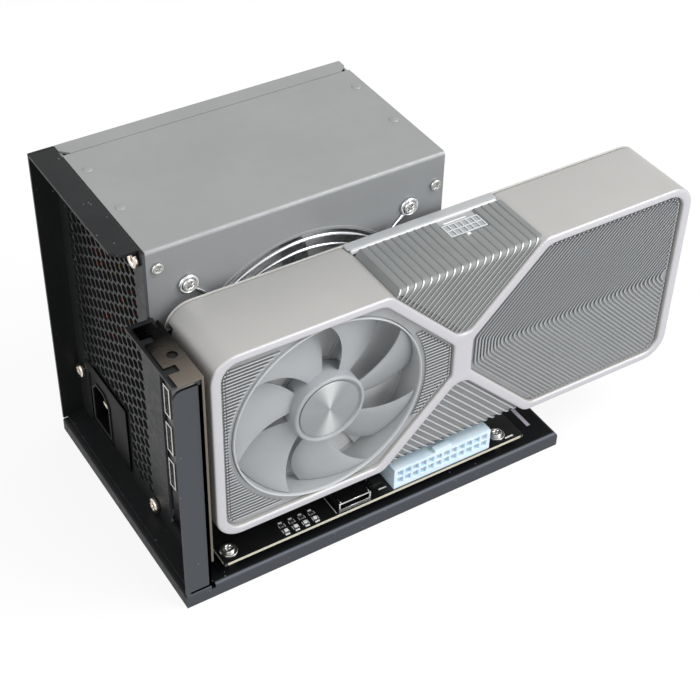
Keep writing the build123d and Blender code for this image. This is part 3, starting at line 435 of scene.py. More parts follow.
def plate(outline, holes, thickness, place, bevel=0.0, bevel_steps=3):
    """Mesh of a flat plate with holes. Its back lies in the plane, and its front comes out of it."""
    curve = bpy.data.curves.new("plate", "CURVE")
    curve.dimensions = "2D"
    curve.fill_mode = "BOTH"
    curve.extrude = thickness / 2 - bevel
    curve.bevel_depth = bevel
    curve.bevel_resolution = bevel_steps
    curve.offset = -bevel
    for loop in [outline, *holes]:
        spline = curve.splines.new("POLY")
        spline.points.add(len(loop) - 1)
        for point, (x, y) in zip(spline.points, loop):
            point.co = (x, y, 0, 1)
        spline.use_cyclic_u = True
    holder = bpy.data.objects.new("plate", curve)
    mesh = bpy.data.meshes.new_from_object(holder)
    bpy.data.objects.remove(holder)
    bpy.data.curves.remove(curve)
    mesh.materials.clear()
    mesh.transform(place @ Matrix.Translation((0, 0, thickness / 2)))
    return mesh


def closed_seams(bm):
    bmesh.ops.remove_doubles(bm, verts=bm.verts, dist=1e-4)
    return bm


def merged(*meshes):
    """One bmesh that holds all the meshes, with the seams of each closed."""
    bm = bmesh.new()
    for mesh in meshes:
        bm.from_mesh(mesh)
        bpy.data.meshes.remove(mesh)
    return closed_seams(bm)


def as_mesh(name, bm):
    """Mesh of a bmesh, whose faces are turned outwards first."""
    bmesh.ops.recalc_face_normals(bm, faces=bm.faces)
    mesh = bpy.data.meshes.new(name)
    bm.to_mesh(mesh)
    bm.free()
    return mesh


def join(bm, rings, closed=False, around=True):
    """Adds the faces from each ring of corners to the next, and from the last to the first if closed.

    Rows that don't go around have no face between their last corners and their first.
    """
    pairs = list(zip(rings, rings[1:]))
    if closed:
        pairs.append((rings[-1], rings[0]))
    for first, second in pairs:
        for index in range(len(first) if around else len(first) - 1):
            after = (index + 1) % len(first)
            bm.faces.new((first[index], first[after], second[after], second[index]))


def solid(bm, rings):
    """Adds the faces between rings of corners, and caps on the first and the last."""
    join(bm, rings)
    bm.faces.new(rings[0][::-1])
    bm.faces.new(rings[-1])


def grid_edge(rows):
    """The corners round the edge of a grid of corners."""
    right = [row[-1] for row in rows[:-1]]
    left = [row[0] for row in rows[:0:-1]]
    return rows[0][:-1] + right + rows[-1][:0:-1] + left


def slab(bm, outline, thickness, place):
    """Adds a prism: its back lies in the plane, and its front comes out of it."""
    rings = [[bm.verts.new(place @ Vector((x, y, z))) for x, y in outline] for z in (0, thickness)]
    solid(bm, rings)


def brick(bm, corner, size):
    x, y, z = corner
    slab(bm, rectangle(x, y, x + size[0], y + size[1]), size[2], floor_plane(z))


def ribbon(bm, left, right, thickness, place):
    """Adds a bent strip between two lines of points in the plane, run out by a thickness."""
    rings = []
    for a, b in zip(left, right):
        section = ((*a, 0), (*b, 0), (*b, thickness), (*a, thickness))
        rings.append([bm.verts.new(place @ Vector(point)) for point in section])
    solid(bm, rings)


def revolve(bm, profile, place, turns=64, closed=False):
    """Adds the surface that a profile (radius, height) sweeps about the plane's own Z."""
    rings = []
    for radius, height in profile:
        loop = circle(0, 0, radius, turns)
        rings.append([bm.verts.new(place @ Vector((x, y, height))) for x, y in loop])
    join(bm, rings, closed)


def wire(bm, path, radius, sides=8, closed=False):
    """Adds a round wire along points."""
    rings = []
    last = len(path) - 1
    for index, point in enumerate(path):
        before = path[index - 1] if closed or index > 0 else point
        after = path[(index + 1) % len(path)] if closed or index < last else point
        along = (Vector(after) - Vector(before)).normalized()
        across = across - along * across.dot(along) if rings else along.orthogonal()
        across = across.normalized()
        other = along.cross(across)
        loop = circle(0, 0, radius, sides)
        rings.append([bm.verts.new(Vector(point) + across * a + other * b) for a, b in loop])
    if closed:
        join(bm, rings, closed)
    else:
        solid(bm, rings)


def piece(name, bm, coat, body="enclosure", stands_for=(), smooth=None):
    """Turns millimetres into a finished piece that rides on a body."""
    mesh = as_mesh(name, closed_seams(bm))
    mesh.transform(Matrix.Scale(MM, 4))
    mesh.materials.append(coat)
    if smooth is not None:
        mesh.polygons.foreach_set("use_smooth", [True] * len(mesh.polygons))
        mesh.set_sharp_from_angle(angle=math.radians(smooth))
    made = bpy.data.objects.new(name, mesh)
    bpy.context.scene.collection.objects.link(made)
    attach(made, body)
    if stands_for:
        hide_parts(*stands_for)


def plate_piece(name, coat, outline, thickness, place, bevel, holes=(), smooth=40):
    piece(name, merged(plate(outline, holes, thickness, place, bevel)), coat, smooth=smooth)


def bar_piece(name, coat, corner, size, bevel):
    x, y, z = corner
    outline = rectangle(x, y, x + size[0], y + size[1])
    plate_piece(name, coat, outline, size[2], floor_plane(z), bevel)


def cut_box(bm, corner, size):
    """What is left of a closed shape when a box is cut out of it."""
    box = bmesh.new()
    brick(box, corner, size)
    things = {}
    for name, shape in (("cutter", box), ("holder", bm)):
        things[name] = bpy.data.objects.new(name, as_mesh(name, shape))
        bpy.context.scene.collection.objects.link(things[name])
    cut = things["holder"].modifiers.new("cut", "BOOLEAN")
    cut.object = things["cutter"]
    cut.solver = "EXACT"
    cut.use_self = True
    graph = bpy.context.evaluated_depsgraph_get()
    result = bpy.data.meshes.new_from_object(things["holder"].evaluated_get(graph))
    for thing in things.values():
        mesh = thing.data
        bpy.data.objects.remove(thing)
        bpy.data.meshes.remove(mesh)
    return merged(result)


# Rear wall: honeycombed sheet with bent flanges
sheet = 1.2
bend_radius = 1.0
bend_x = wall_x - bend_radius
bend_y = back_y - bend_radius
bend_z = supply_top - bend_radius
flange_y = fan_y + 3.0
flange_cut = 4.0
strip_gap = 2.0
strip_corner = 4.0
ledge_z = deck_z + 119.5
ledge_under = ledge_z - sheet
ledge_back = 2.2
foot_relief = 2.0
comb_pitch = 5.6
comb_web = 1.1
comb_front = 8.2
comb_back = 12.0
comb_low = 9.0
comb_top = 4.6
screw_clear = 5.2
band_front = 28.0
band_top = 45.0
window_front = 3.0
window_back = 7.8
window_low = 8.0
window_top = 4.0
window_corner = 2.0
inlet_gap = 0.3
mount_screws = [(fan_y + y, deck_z + h) for y, h in ((6, 6), (6, 144), (80, 30), (80, 144))]


def comb_holes():
    holes = []
    column_step = comb_pitch * math.sqrt(3) / 2
    cell = (comb_pitch - comb_web) / math.sqrt(3)
    depth = back_y - fan_y
    height = supply_top - deck_z
    for column in range(int((depth - comb_front - comb_back) / column_step) + 1):
        y = comb_front + comb_pitch / 2 + column * column_step
        for row in range(int((height - comb_low - comb_top - comb_pitch) / comb_pitch) + 1):
            up = comb_low + comb_pitch / 2 + (row + (column % 2) / 2) * comb_pitch
            place = Vector((fan_y + y, deck_z + up))
            if y > band_front and up < band_top:
                continue
            if up > height - comb_top - comb_pitch / 2:
                continue
            if min((place - Vector(screw)).length for screw in mount_screws) < screw_clear:
                continue
            holes.append(circle(place.x, place.y, cell, 6))
    return holes


def wall_bend(edge):
    """Section of the bend between the wall and a flange that lies at the edge."""
    up = edge - bend_radius
    arc = [(bend_x + bend_radius * math.sin(a), up + bend_radius * math.cos(a)) for a in quarter_turn]
    return arc + [(wall_x - sheet, up), (bend_x, edge - sheet)]


def rear_wall():
    outline = [
        (front_y, deck_z),
        (bend_y, deck_z),
        (bend_y, bend_z),
        (flange_y, bend_z),
        (flange_y, supply_top),
        (fan_y, supply_top),
        (fan_y, ledge_under),
        (front_y, ledge_under),
    ]
    window_end = (fan_y - window_back, ledge_z - window_top)
    window = rectangle(front_y + window_front, deck_z + window_low, *window_end)
    window = rounded([(y, z, window_corner) for y, z in window])
    inlet_start = (inlet_low.y - inlet_gap, inlet_low.z - inlet_gap)
    inlet = rectangle(*inlet_start, inlet_high.y + inlet_gap, inlet_high.z + inlet_gap)
    bm = merged(plate(outline, [window, inlet, *comb_holes()], sheet, wall_plane(wall_x - sheet)))
    # Top and back flanges, each with its bend
    top = [
        (left_x, flange_y + flange_cut),
        (left_x + flange_cut, flange_y),
        (bend_x, flange_y),
        (bend_x, bend_y),
        (left_x, bend_y),
    ]
    height = supply_top - deck_z
    slab(bm, top, sheet, floor_plane(supply_top - sheet))
    slab(bm, rectangle(left_x, back_y - sheet, bend_x, back_y), height, floor_plane(deck_z))
    slab(bm, wall_bend(supply_top), back_y - flange_y, front_plane(back_y))
    slab(bm, wall_bend(back_y), height, floor_plane(deck_z))
    # Ledge, foot flange and the strip in front of the sockets
    depth = wall_x - left_x
    brick(bm, (left_x, front_y, ledge_under), (depth, fan_y - ledge_back - front_y, sheet))
    brick(bm, (left_x + foot_relief, front_y, deck_z), (depth - foot_relief, back_y - front_y, sheet))
    strip_top = ledge_under - strip_gap
    strip = [(left_x, deck_z, 0), (wall_x, deck_z, 0), (wall_x, strip_top, 0)]
    strip += [(left_x, strip_top, strip_corner)]
    slab(bm, rounded(strip), sheet, front_plane(front_y + sheet))
    piece("wall_sheet", bm, chassis_coat, stands_for=["rear_wall"], smooth=30)


rear_wall()

# Screws: rounded heads with a cross recess, each with its axis along its plane's Z
recess_share = 0.52
recess_width_share = 0.17
fan_hole = 52.5
screw_low, screw_high = ends("board_screws")
washer_radius = 4.0
screw_length = board_top - screw_low.z


def cross_outline(reach, half_width, turn):
    points = []
    for arm in range(4):
        angle = turn + arm * math.pi / 2
        along = Vector((math.cos(angle), math.sin(angle)))
        side = Vector((-along.y, along.x)) * half_width
        points += [along * reach - side, along * reach + side, along * half_width + side]
    return [tuple(point) for point in points]


def screw_head(radius, height, place, turn, washer):
    cross = cross_outline(radius * recess_share, radius * recess_width_share, turn)
    bm = merged(plate(circle(0, 0, radius, 32), [cross], height, place, height * 0.38))
    recess_floor = height * 0.25
    revolve(bm, ((0, recess_floor), (radius * 0.7, recess_floor)), place, 24)
    if washer:
        edge = height * 0.2
        top = height * 0.3
        revolve(bm, ((0, 0), (washer, 0), (washer, edge), (washer - 0.2, top), (0, top)), place, 32)
    return as_mesh("screw", bm)


def screws(name, coat, places, size, turns, stands_for=(), shaft=(), washer=0.0):
    """Screws with heads of a size (radius, height), each turned a step further, on shafts of a profile."""
    start, step = turns
    heads = [screw_head(*size, place, start + step * index, washer) for index, place in enumerate(places)]
    bm = merged(*heads)
    for place in places:
        revolve(bm, shaft, place, 16)
    piece(name, bm, coat, stands_for=stands_for, smooth=35)


mount_shaft = ((0, 0), (1.65, 0), (1.65, -5.5), (1.2, -6), (0, -6))
mount_places = [facing((wall_x - sheet, y, z), (0, -1, 0), (0, 0, 1)) for y, z in mount_screws]
screws(
    "mount_screw_heads",
    nickel,
    mount_places,
    size=(3.7, 2.4),
    turns=(0.3, 0.5),
    stands_for=["supply_mount_screws"],
    shaft=mount_shaft,
)
board_shaft = ((0, -screw_length), (1.1, -screw_length), (1.5, 0.6 - screw_length), (1.5, 0), (0, 0))
board_places = [
    Matrix.Translation((x, y, board_top))
    for x in (screw_low.x + washer_radius, screw_high.x - washer_radius)
    for y in (screw_low.y + washer_radius, screw_high.y - washer_radius)
]
screws(
    "board_screw_heads",
    steel,
    board_places,
    size=(2.7, 1.9),
    turns=(0.2, 0.6),
    stands_for=["board_screws"],
    shaft=board_shaft,
    washer=washer_radius,
)
cover_screws = ((4.7, 141), (135.7, 135), (4.7, 9), (135.7, 15))
cover_places = [front_plane(fan_y, wall_x + x, deck_z + z) for x, z in cover_screws]
screws("cover_screw_heads", steel, cover_places, size=(2.6, 1.3), turns=(0.5, 0))
fan_holes = [
    (supply_mid_x + side * fan_hole, supply_fan_z + end * fan_hole) for side in (-1, 1) for end in (-1, 1)
]
guard_places = [front_plane(fan_y - 0.2, x, z) for x, z in fan_holes]
screws("guard_screw_heads", steel, guard_places, size=(3.0, 2.0), turns=(0.9, 0))

# Wire guard over the supply's fan
guard_rings = (16.6, 35.6, 49.6, 54.6)
guard_wire = 0.8
eyelet = 3.8


def fan_guard():
    bm = bmesh.new()
    plane_y = fan_y - guard_wire
    middle = Vector((supply_mid_x, plane_y, supply_fan_z))

    def ring(x, z, radius, sides):
        wire(bm, [(a, plane_y, b) for a, b in circle(x, z, radius, sides)], guard_wire, closed=True)

    for radius in guard_rings:
        ring(supply_mid_x, supply_fan_z, radius, 96)
    for x, z in fan_holes:
        out = Vector((x - supply_mid_x, 0, z - supply_fan_z)).normalized()
        start = middle + out * guard_rings[0]
        end = Vector((x, plane_y, z)) - out * eyelet
        wire(bm, [tuple(start.lerp(end, step / 6)) for step in range(7)], guard_wire)
        ring(x, z, eyelet, 28)
    piece("wire_guard", bm, wire_chrome, stands_for=["supply_fan_guard"], smooth=60)


fan_guard()

# Fans: rotors with cambered blades, and round mounts
blade_count = 7
blade_gap = 7.4
blade_start = 17.0
tip_trim = 5.0
lead_sweep = (23.0, 14.0)
trail_sweep = (6.0, 9.0)
blade_camber = 1.5
blade_thickness = 1.2
thin_edge = {0: 0.35, 1: 0.8}
fan_base = 2.0
hub_gap = 0.6
hub_wall = 1.5
shaft_radius = 1.5
bore_radius = 1.55
boss_radius = 4.5
boss_height = 5.0


def swept(sweep, share):
    """Angle by which a blade's edge lags its tip, from sweeps at the root and at the middle."""
    root, middle = sweep
    return math.radians(root * (1 - share) * (1 - 2 * share) + 4 * middle * share * (1 - share))


def rotor_blades(bm, place, hub_radius, tip_radius, depth):
    base = fan_base + hub_gap
    height = depth - base - 2 * hub_gap - blade_thickness
    middle = (base + depth) / 2
    half = math.radians(360 / blade_count - blade_gap) / 2
    reach = 1.2 * tip_radius * math.sin(half)
    rows = 16
    columns = 12
    for blade in range(blade_count):
        turn = math.tau * blade / blade_count + math.radians(blade_start)
        under = [[] for row in range(rows + 1)]
        over = [[] for row in range(rows + 1)]
        for row in range(rows + 1):
            share = row / rows
            radius = hub_radius - hub_wall + share * (tip_radius - hub_radius + hub_wall)
            trail = math.radians(tip_trim) * share**2 - half - swept(trail_sweep, share)
            lead = half - swept(lead_sweep, share)
            for column in range(columns + 1):
                angle = trail + (lead - trail) * column / columns
                step = max(-1, min(1, radius * math.sin(angle) / reach))
                up = middle + step * height / 2 + blade_camber * (1 - step**2)
                edge = min(column, columns - column, rows - row)
                thick = blade_thickness * thin_edge.get(edge, 1)
                spoke = (radius * math.cos(angle + turn), radius * math.sin(angle + turn))
                under[row].append(bm.verts.new(place @ Vector((*spoke, up - thick / 2))))
                over[row].append(bm.verts.new(place @ Vector((*spoke, up + thick / 2))))
        join(bm, under, around=False)
        join(bm, over, around=False)
        join(bm, [grid_edge(under), grid_edge(over)])


def rotor(name, node_name, body, place, hub_radius, tip_radius, depth, coat, slot):
    bm = bmesh.new()
    rotor_blades(bm, place, hub_radius, tip_radius, depth)
    base = fan_base + hub_gap
    inside = depth - hub_wall
    disc = hub_radius * 0.87
    hub = (
        (0, depth - 1.0),
        (disc + 0.1, depth - 1.2),
        (disc + 0.45, depth - 0.9),
        (disc + 0.6, depth - 0.25),
        (disc + 1.0, depth),
        (hub_radius - 0.7, depth - 0.05),
        (hub_radius - 0.2, depth - 0.5),
        (hub_radius, depth - 1.2),
        (hub_radius, base),
        (hub_radius - hub_wall, base),
        (hub_radius - hub_wall, inside),
        (0, inside),
    )
    revolve(bm, hub, place, 96)
    shaft = ((0, fan_base / 2), (shaft_radius, fan_base / 2), (shaft_radius, inside), (0, inside))
    revolve(bm, shaft, place, 24)
    piece(name, bm, coat, body, stands_for=[node_name], smooth=40)
    bm = bmesh.new()
    rim = disc - 0.5
    front = depth - 0.5
    face = ((0, front), (rim - 0.5, front), (rim - 0.1, front - 0.2), (rim, front - 0.5), (0, front - 0.5))
    revolve(bm, face, place, 96)
    piece(name + "_disc", bm, hub_disc, body, smooth=40)


supply_hub = 20.0
supply_tip = 56.0
supply_fan_depth = 24.0
card_hub = 17.0
card_fan_depth = 15.0
card_ring = high("front_fan_mount").x - front_fan.x
card_duct = card_ring - 0.8
card_tip = card_duct - 0.5


def fan_mount(name, node_name, place):
    bm = bmesh.new()
    edge = 0.25
    ring = (
        (card_ring, 0),
        (card_ring, card_fan_depth - edge),
        (card_ring - edge, card_fan_depth),
        (card_duct + edge, card_fan_depth),
        (card_duct, card_fan_depth - edge),
        (card_duct, 0),
    )
    revolve(bm, ring, place, 128, closed=True)
    boss = (
        (bore_radius, 0.6),
        (bore_radius, boss_height),
        (boss_radius, boss_height),
        (boss_radius, fan_base),
        (card_hub, fan_base),
        (card_hub, 0),
        (bore_radius, 0),
    )
    revolve(bm, boss, place, 64)
    for strut in range(3):
        turn = Matrix.Rotation(math.radians(60 + 120 * strut), 4, "Z")
        slab(bm, rectangle(card_hub - 1, -2, card_duct + 0.4, 2), fan_base, place @ turn)
    piece(name, bm, ring_grey, stands_for=[node_name], smooth=40)
    # Darker sleeve inside the duct: painted shade standing in for the shade deep in the duct
    bm = bmesh.new()
    painted_shade_lining = (
        (card_duct - 0.15, fan_base + 0.2),
        (card_duct - 0.15, card_fan_depth - 1.2),
        (card_duct + 0.2, card_fan_depth - 1.0),
        (card_duct + 0.2, fan_base + 0.2),
    )
    revolve(bm, painted_shade_lining, place, 128, closed=True)
    piece(name + "_lining", bm, fin_floor, smooth=40)


front_fan_place = front_plane(high("front_fan_mount").y, front_fan.x, front_fan.z)
rear_fan_place = facing((rear_fan.x, low("rear_fan_mount").y, rear_fan.z), (-1, 0, 0), (0, 0, 1))
supply_fan_place = front_plane(high("supply_fan_frame").y, supply_mid_x, supply_fan_z)
card_fan = (card_hub, card_tip, card_fan_depth, card_fan_grey, "card_fan_plastic")
supply_fan = (supply_hub, supply_tip, supply_fan_depth, supply_fan_grey, "fan_plastic")
rotor("front_blades", "front_fan_rotor", "front_rotor", front_fan_place, *card_fan)
rotor("rear_blades", "rear_fan_rotor", "rear_rotor", rear_fan_place, *card_fan)
rotor("supply_blades", "supply_fan_rotor", "supply_rotor", supply_fan_place, *supply_fan)
fan_mount("front_fan_ring", "front_fan_mount", front_fan_place)
fan_mount("rear_fan_ring", "rear_fan_mount", rear_fan_place)

# Card frame: two lobes with rounded edges
card_corner = 12.0
lobe_corner = 7.0
notch_half = 38.6
notch_corner = 7.5
frame_band = 4.2
diagonal_band = 5.0
end_band = 4.9
waist_band = 10.0
waist_corner = 4.5
opening_corner = 8.0
frame_edge = 1.1


def opening_size(gap):
    """Half height, end, waist and half height at the waist of an opening, drawn in by a gap."""
    top = half_height - frame_band - gap
    end = half_length - end_band - gap
    waist = waist_band / 2 + gap
    shoulder = waist + half_height - notch_half - (diagonal_band + gap) * math.sqrt(2)
    return top, end, waist, shoulder


def lobe(gap, side, steps=8):
    """Outline of the left (-1) or right (1) opening, drawn in by a gap, about the card's middle."""
    top, end, waist, shoulder = opening_size(gap)
    turn = waist + top - shoulder
    radius = opening_corner - gap
    upper = [(side * end, top, radius), (side * turn, top, radius)]
    upper += [(side * waist, shoulder, waist_corner - gap)]
    return rounded(with_lower(upper), steps)


def card_place(y):
    return front_plane(y, card_mid.x, card_mid.z)


def card_frame():
    upper = [
        (-half_length, half_height, card_corner),
        (-notch_half, half_height, lobe_corner),
        (0, half_height - notch_half, notch_corner),
        (notch_half, half_height, lobe_corner),
        (half_length, half_height, card_corner),
    ]
    outline = rounded(with_lower(upper), 12)
    openings = [lobe(0, side, 10) for side in (-1, 1)]
    shroud = plate(outline, openings, card_back - front_y, card_place(card_back), frame_edge, 4)
    # Pocket for the board, which runs through to the bracket
    pocket = Vector((wall_x, low("card_board").y - 1, deck_z))
    pocket_end = Vector((high("card_board").x + 1, card_back + 1, high("card_board").z + 1))
    bm = cut_box(merged(shroud), pocket, pocket_end - pocket)
    piece("card_shroud", bm, card_alloy, stands_for=["card_frame"], smooth=35)


card_frame()

# Fins: thin plates over a floor that closes their gaps; the floor's mid grey is painted shade, standing in
# for the shade between the fins
fin_setback = 1.2
fin_gap = 2.2
fin_thickness = 0.6
fin_depth = 1.0
floor_sheet = 0.8
floor_gap = 0.2
side_fin_pitch = 1.7
right_reach = 23.0
fan_clear = 2.2
cold_plate = 1.8
tab_size = 0.7
fin_front = front_y + fin_setback
floor_back = fin_front + fin_depth + floor_sheet


def chord(gap, up):
    """Where a level line crosses the left opening: its two ends, about the card's middle."""
    xs = []
    loop = lobe(gap, -1, 12)
    for (x0, y0), (x1, y1) in zip(loop, loop[1:] + loop[:1]):
        if (y0 - up) * (y1 - up) < 0:
            xs.append(x0 + (x1 - x0) * (up - y0) / (y1 - y0))
    return min(xs), max(xs)


def tab(bm, x, up):
    """Adds the folded end of a fin, which catches the light beside it."""
    half = tab_size / 2
    outline = rectangle(x - half, up - half, x + half, up + half)
    slab(bm, outline, fin_depth, card_place(fin_front + fin_depth))


def side_fins():
    bm = bmesh.new()
    tabs = bmesh.new()
    back = high("side_fins").y - cold_plate
    behind_fan = high("front_fan_mount").y + 0.2
    fan_x = front_fan.x - card_mid.x
    tab_gap = 0.8
    count = int(2 * (half_height - frame_band - fin_gap) / side_fin_pitch)
    for fin in range(count):
        up = (fin - (count - 1) / 2) * side_fin_pitch
        left, right = chord(fin_gap, up)
        half = math.sqrt((card_ring + fan_clear) ** 2 - up**2)
        inner_left = max(left + 0.3, fan_x - half)
        inner_right = min(right - 0.3, fan_x + half)
        outline = [(left, fin_front), (inner_left, fin_front)]
        outline += [(inner_left, behind_fan), (inner_right, behind_fan)]
        if abs(up) < right_reach:
            outline += [(inner_right, fin_front), (right, fin_front), (right, back)]
            tab(tabs, right + tab_gap, up)
        else:
            outline += [(inner_right, back)]
        outline += [(left, back)]
        tab(tabs, left - tab_gap, up)
        place = Matrix.Translation((card_mid.x, 0, card_mid.z + up - fin_thickness / 2))
        slab(bm, outline, fin_thickness, place)
    slab(bm, lobe(floor_gap, -1), cold_plate, card_place(back + cold_plate))
    fan_loop = circle(fan_x, front_fan.z - card_mid.z, card_ring + 0.3, 96)
    # painted shade: grey floor just behind the fin fronts in place of the shaded gaps
    floor_bm = merged(plate(lobe(floor_gap, -1), [fan_loop], floor_sheet, card_place(floor_back)))
    piece("level_fin_floor", floor_bm, fin_floor)
    # Pale disc behind the fan: painted light that lifts the shade seen between the blades
    backing = bmesh.new()
    slab(backing, fan_loop, floor_sheet, card_place(behind_fan + 0.4))
    piece("painted_light_backing", backing, painted_light_backing)
    piece("level_fins", bm, fin_alloy, stands_for=["side_fins"])
    piece("level_fin_tabs", tabs, fin_alloy)


side_fins()

chevron_pitch = 2.4
waist_pitch = chevron_pitch / math.sqrt(2)
chevron_round = 2.0
waist_round = 0.6
pipe_depth = 2.0
pipe_half = 4.0


def chevron_fins():
    bm = bmesh.new()
    tabs = bmesh.new()
    depth = high("chevron_fins").y - pipe_depth - fin_front
    top, end, waist, shoulder = opening_size(fin_gap)
    corner = opening_corner - fin_gap
    steps = 40

    def line(fin, up):
        arm = waist - shoulder + fin * chevron_pitch + math.hypot(up, chevron_round)
        side = waist + fin * waist_pitch
        return (arm + side + math.hypot(arm - side, waist_round)) / 2

    def inside(x, up):
        over = max(0, x - (end - corner))
        above = max(0, abs(up) - (top - corner))
        return x <= end and abs(up) <= top and math.hypot(over, above) <= corner

    fin = 0
    while inside(line(fin, 0) + fin_thickness, 0):
        reach = top
        while reach > 0.6 and not inside(line(fin, reach) + fin_thickness, reach):
            reach -= 0.1
        shares = [2 * step / steps - 1 for step in range(steps + 1)]
        ups = [reach * share * math.sqrt(abs(share)) for share in shares]
        left = [(line(fin, up), up) for up in ups]
        right = [(x + fin_thickness * 1.3, up) for x, up in left]
        ribbon(bm, left, right, depth, card_place(fin_front + depth))
        for x, up in (left[0], left[-1]):
            tab(tabs, x + 0.9, up + math.copysign(0.7, up))
        fin += 1
    floor_bm = bmesh.new()
    # painted shade: grey floor just behind the nested fins in place of the shaded gaps
    slab(floor_bm, lobe(floor_gap, 1), floor_sheet, card_place(floor_back))
    piece("nested_fin_floor", floor_bm, fin_floor)
    for up in (-half_height / 2, 0, half_height / 2):
        pipe = rectangle(waist + abs(up) * 0.4, up - pipe_half, end, up + pipe_half)
        slab(bm, pipe, pipe_depth, card_place(fin_front + depth + pipe_depth))
    piece("nested_fins", bm, nested_alloy, stands_for=["chevron_fins"])
    piece("nested_fin_tabs", tabs, fin_alloy)


chevron_fins()

# Combs: slanted plates in the card's two notches
comb_inner = notch_half - 0.3
comb_plate = 1.2
comb_sunk = 3.2
comb_flat = 0.3
socket_gap = 0.5


def comb_profile(start, drop, inset, round_edge, back, side):
    """Outline (y, depth below the card's edge) of one slanted plate, cut back round the power socket."""
    edge = max(min(round_edge, drop) - inset, 0.1)
    centre = edge + inset
    profile = [(fin_front + inset, drop)]
    if drop > centre + comb_flat:
        profile += [(fin_front + inset, centre + comb_flat)]
    turn = [(edge * math.cos(a), edge * math.sin(a)) for a in quarter_turn]
    profile += [(fin_front + centre - ahead, centre - up) for ahead, up in turn]
    profile += [(fin_front + centre + comb_flat, inset)]
    cut_y = socket_low.y - socket_gap
    first = max(start + card_mid.x - socket_high.x - socket_gap, inset)
    last = start + card_mid.x - socket_low.x + socket_gap
    bottom = card_mid.z + half_height - socket_low.z + socket_gap
    last = min(last, bottom, drop)
    if side < 0 or last <= first:
        return profile + [(back, inset), (back, drop)]
    if first > inset:
        profile += [(back, inset), (back, first)]
    profile += [(cut_y, first), (cut_y, last)]
    if last < drop:
        profile += [(back, last), (back, drop)]
    return profile


def slanted_plate(bm, start, thickness, profile, side):
    rings = []
    for offset in (-thickness / 2, thickness / 2):
        x = card_mid.x + start + offset
        points = [(x - down, y, card_mid.z + side * (half_height - down)) for y, down in profile]
        rings.append([bm.verts.new(point) for point in points])
    solid(bm, rings)


def notch_comb(name, node_name, floor_coat, side, pitch, thickness, inset, round_edge):
    """Slanted plates in the upper (1) or lower (-1) notch, rounded where the front turns into the edge, over
    grey fillers that are painted shade in their gaps.
    """
    bm = bmesh.new()
    fillers = bmesh.new()
    back = high(node_name).y
    for fin in range(-1, int(2 * comb_inner / pitch)):
        start = comb_inner - (fin + 0.45) * pitch
        drop = (start + comb_inner) / 2
        if fin >= 0 and drop > 1:
            slanted_plate(bm, start, thickness, comb_profile(start, drop, 0, round_edge, back, side), side)
        between = start - pitch / 2
        drop = (start - pitch + comb_inner) / 2
        if drop > inset + 1:
            # painted shade: grey filler in the gap between two plates
            filler = comb_profile(between, drop, inset, round_edge, back, side)
            slanted_plate(fillers, between, pitch - thickness, filler, side)
    width = comb_plate * math.sqrt(2)
    seat = [
        (comb_sunk - comb_inner, side * (half_height - comb_sunk)),
        (0, side * (half_height - comb_inner)),
        (width, side * (half_height - comb_inner + width / 2)),
        (comb_sunk + width - comb_inner, side * (half_height - comb_sunk)),
    ]
    slab(fillers, seat, back - fin_front - 0.6, card_place(back))
    piece(name, bm, comb_alloy, stands_for=[node_name], smooth=30)
    piece(name + "_floor", fillers, floor_coat, smooth=30)


upper_sizes = {"side": 1, "pitch": 3.85, "thickness": 0.6, "inset": 0.4, "round_edge": 3.2}
lower_sizes = {"side": -1, "pitch": 4.05, "thickness": 1.1, "inset": 0.8, "round_edge": 5.0}
notch_comb("upper_comb", "notch_fins", comb_floor, **upper_sizes)
notch_comb("lower_comb", "lower_fins", lower_floor, **lower_sizes)


# Power socket, rail and flange along the back of the upper notch
def card_socket():
    columns = 6
    rim = 0.5
    wall = 0.25
    frame_wall = 0.3
    column_step = (socket_high.x - socket_low.x - 2 * frame_wall) / columns
    row_step = (socket_high.y - socket_low.y - 2 * frame_wall) / 2
    half_x = column_step / 2 - wall
    half_y = row_step / 2 - wall
    holes = []
    for column in range(columns):
        for row in range(2):
            x = socket_low.x + frame_wall + (column + 0.5) * column_step
            y = socket_low.y + frame_wall + (row + 0.5) * row_step
            holes.append(rectangle(x - half_x, y - half_y, x + half_x, y + half_y))
    outline = rectangle(socket_low.x, socket_low.y, socket_high.x, socket_high.y)
    bm = bmesh.new()
    slab(bm, outline, socket_high.z - socket_low.z - rim, floor_plane(socket_low.z))
    apron = rectangle(socket_low.x - 9, socket_low.y - socket_gap, socket_high.x + 1, high("notch_fins").y)
    slab(bm, apron, 0.6, floor_plane(socket_high.z - 1.7))
    piece("socket_body", bm, fin_floor, stands_for=["power_socket"])
    rim_place = floor_plane(socket_high.z - rim)
    plate_piece("socket_rims", socket_grey, outline, rim, rim_place, 0, holes, None)
    latch = (mid("power_socket").x - 2.4, socket_low.y - 1.9, socket_high.z - 0.7)
    bar_piece("socket_latch", silk_white, latch, (1.8, 1.4, 1.0), 0.3)
    bar = (socket_low.x + 2, socket_high.y + 0.9, socket_high.z - 1.6)
    bar_size = (socket_high.x - socket_low.x - 7, 0.7, 1.6)
    bar_piece("socket_bar", pale_alloy, bar, bar_size, 0.25)


card_socket()


def back_rail():
    top = card_mid.z + half_height
    y = high("notch_fins").y
    reach = notch_half - 1.5
    left = card_mid.x - reach
    bar_piece("back_rail", pale_alloy, (left, y + 0.1, top - 1.8), (2 * reach, 1.5, 1.9), 0.3)
    flange = (left - 1, y + 1.8, top - 0.9)
    flange_size = (2 * reach + 2, high("card_backplate").y - y - 1.7, 1.0)
    bar_piece("back_flange", back_alloy, flange, flange_size, 0.3)


back_rail()

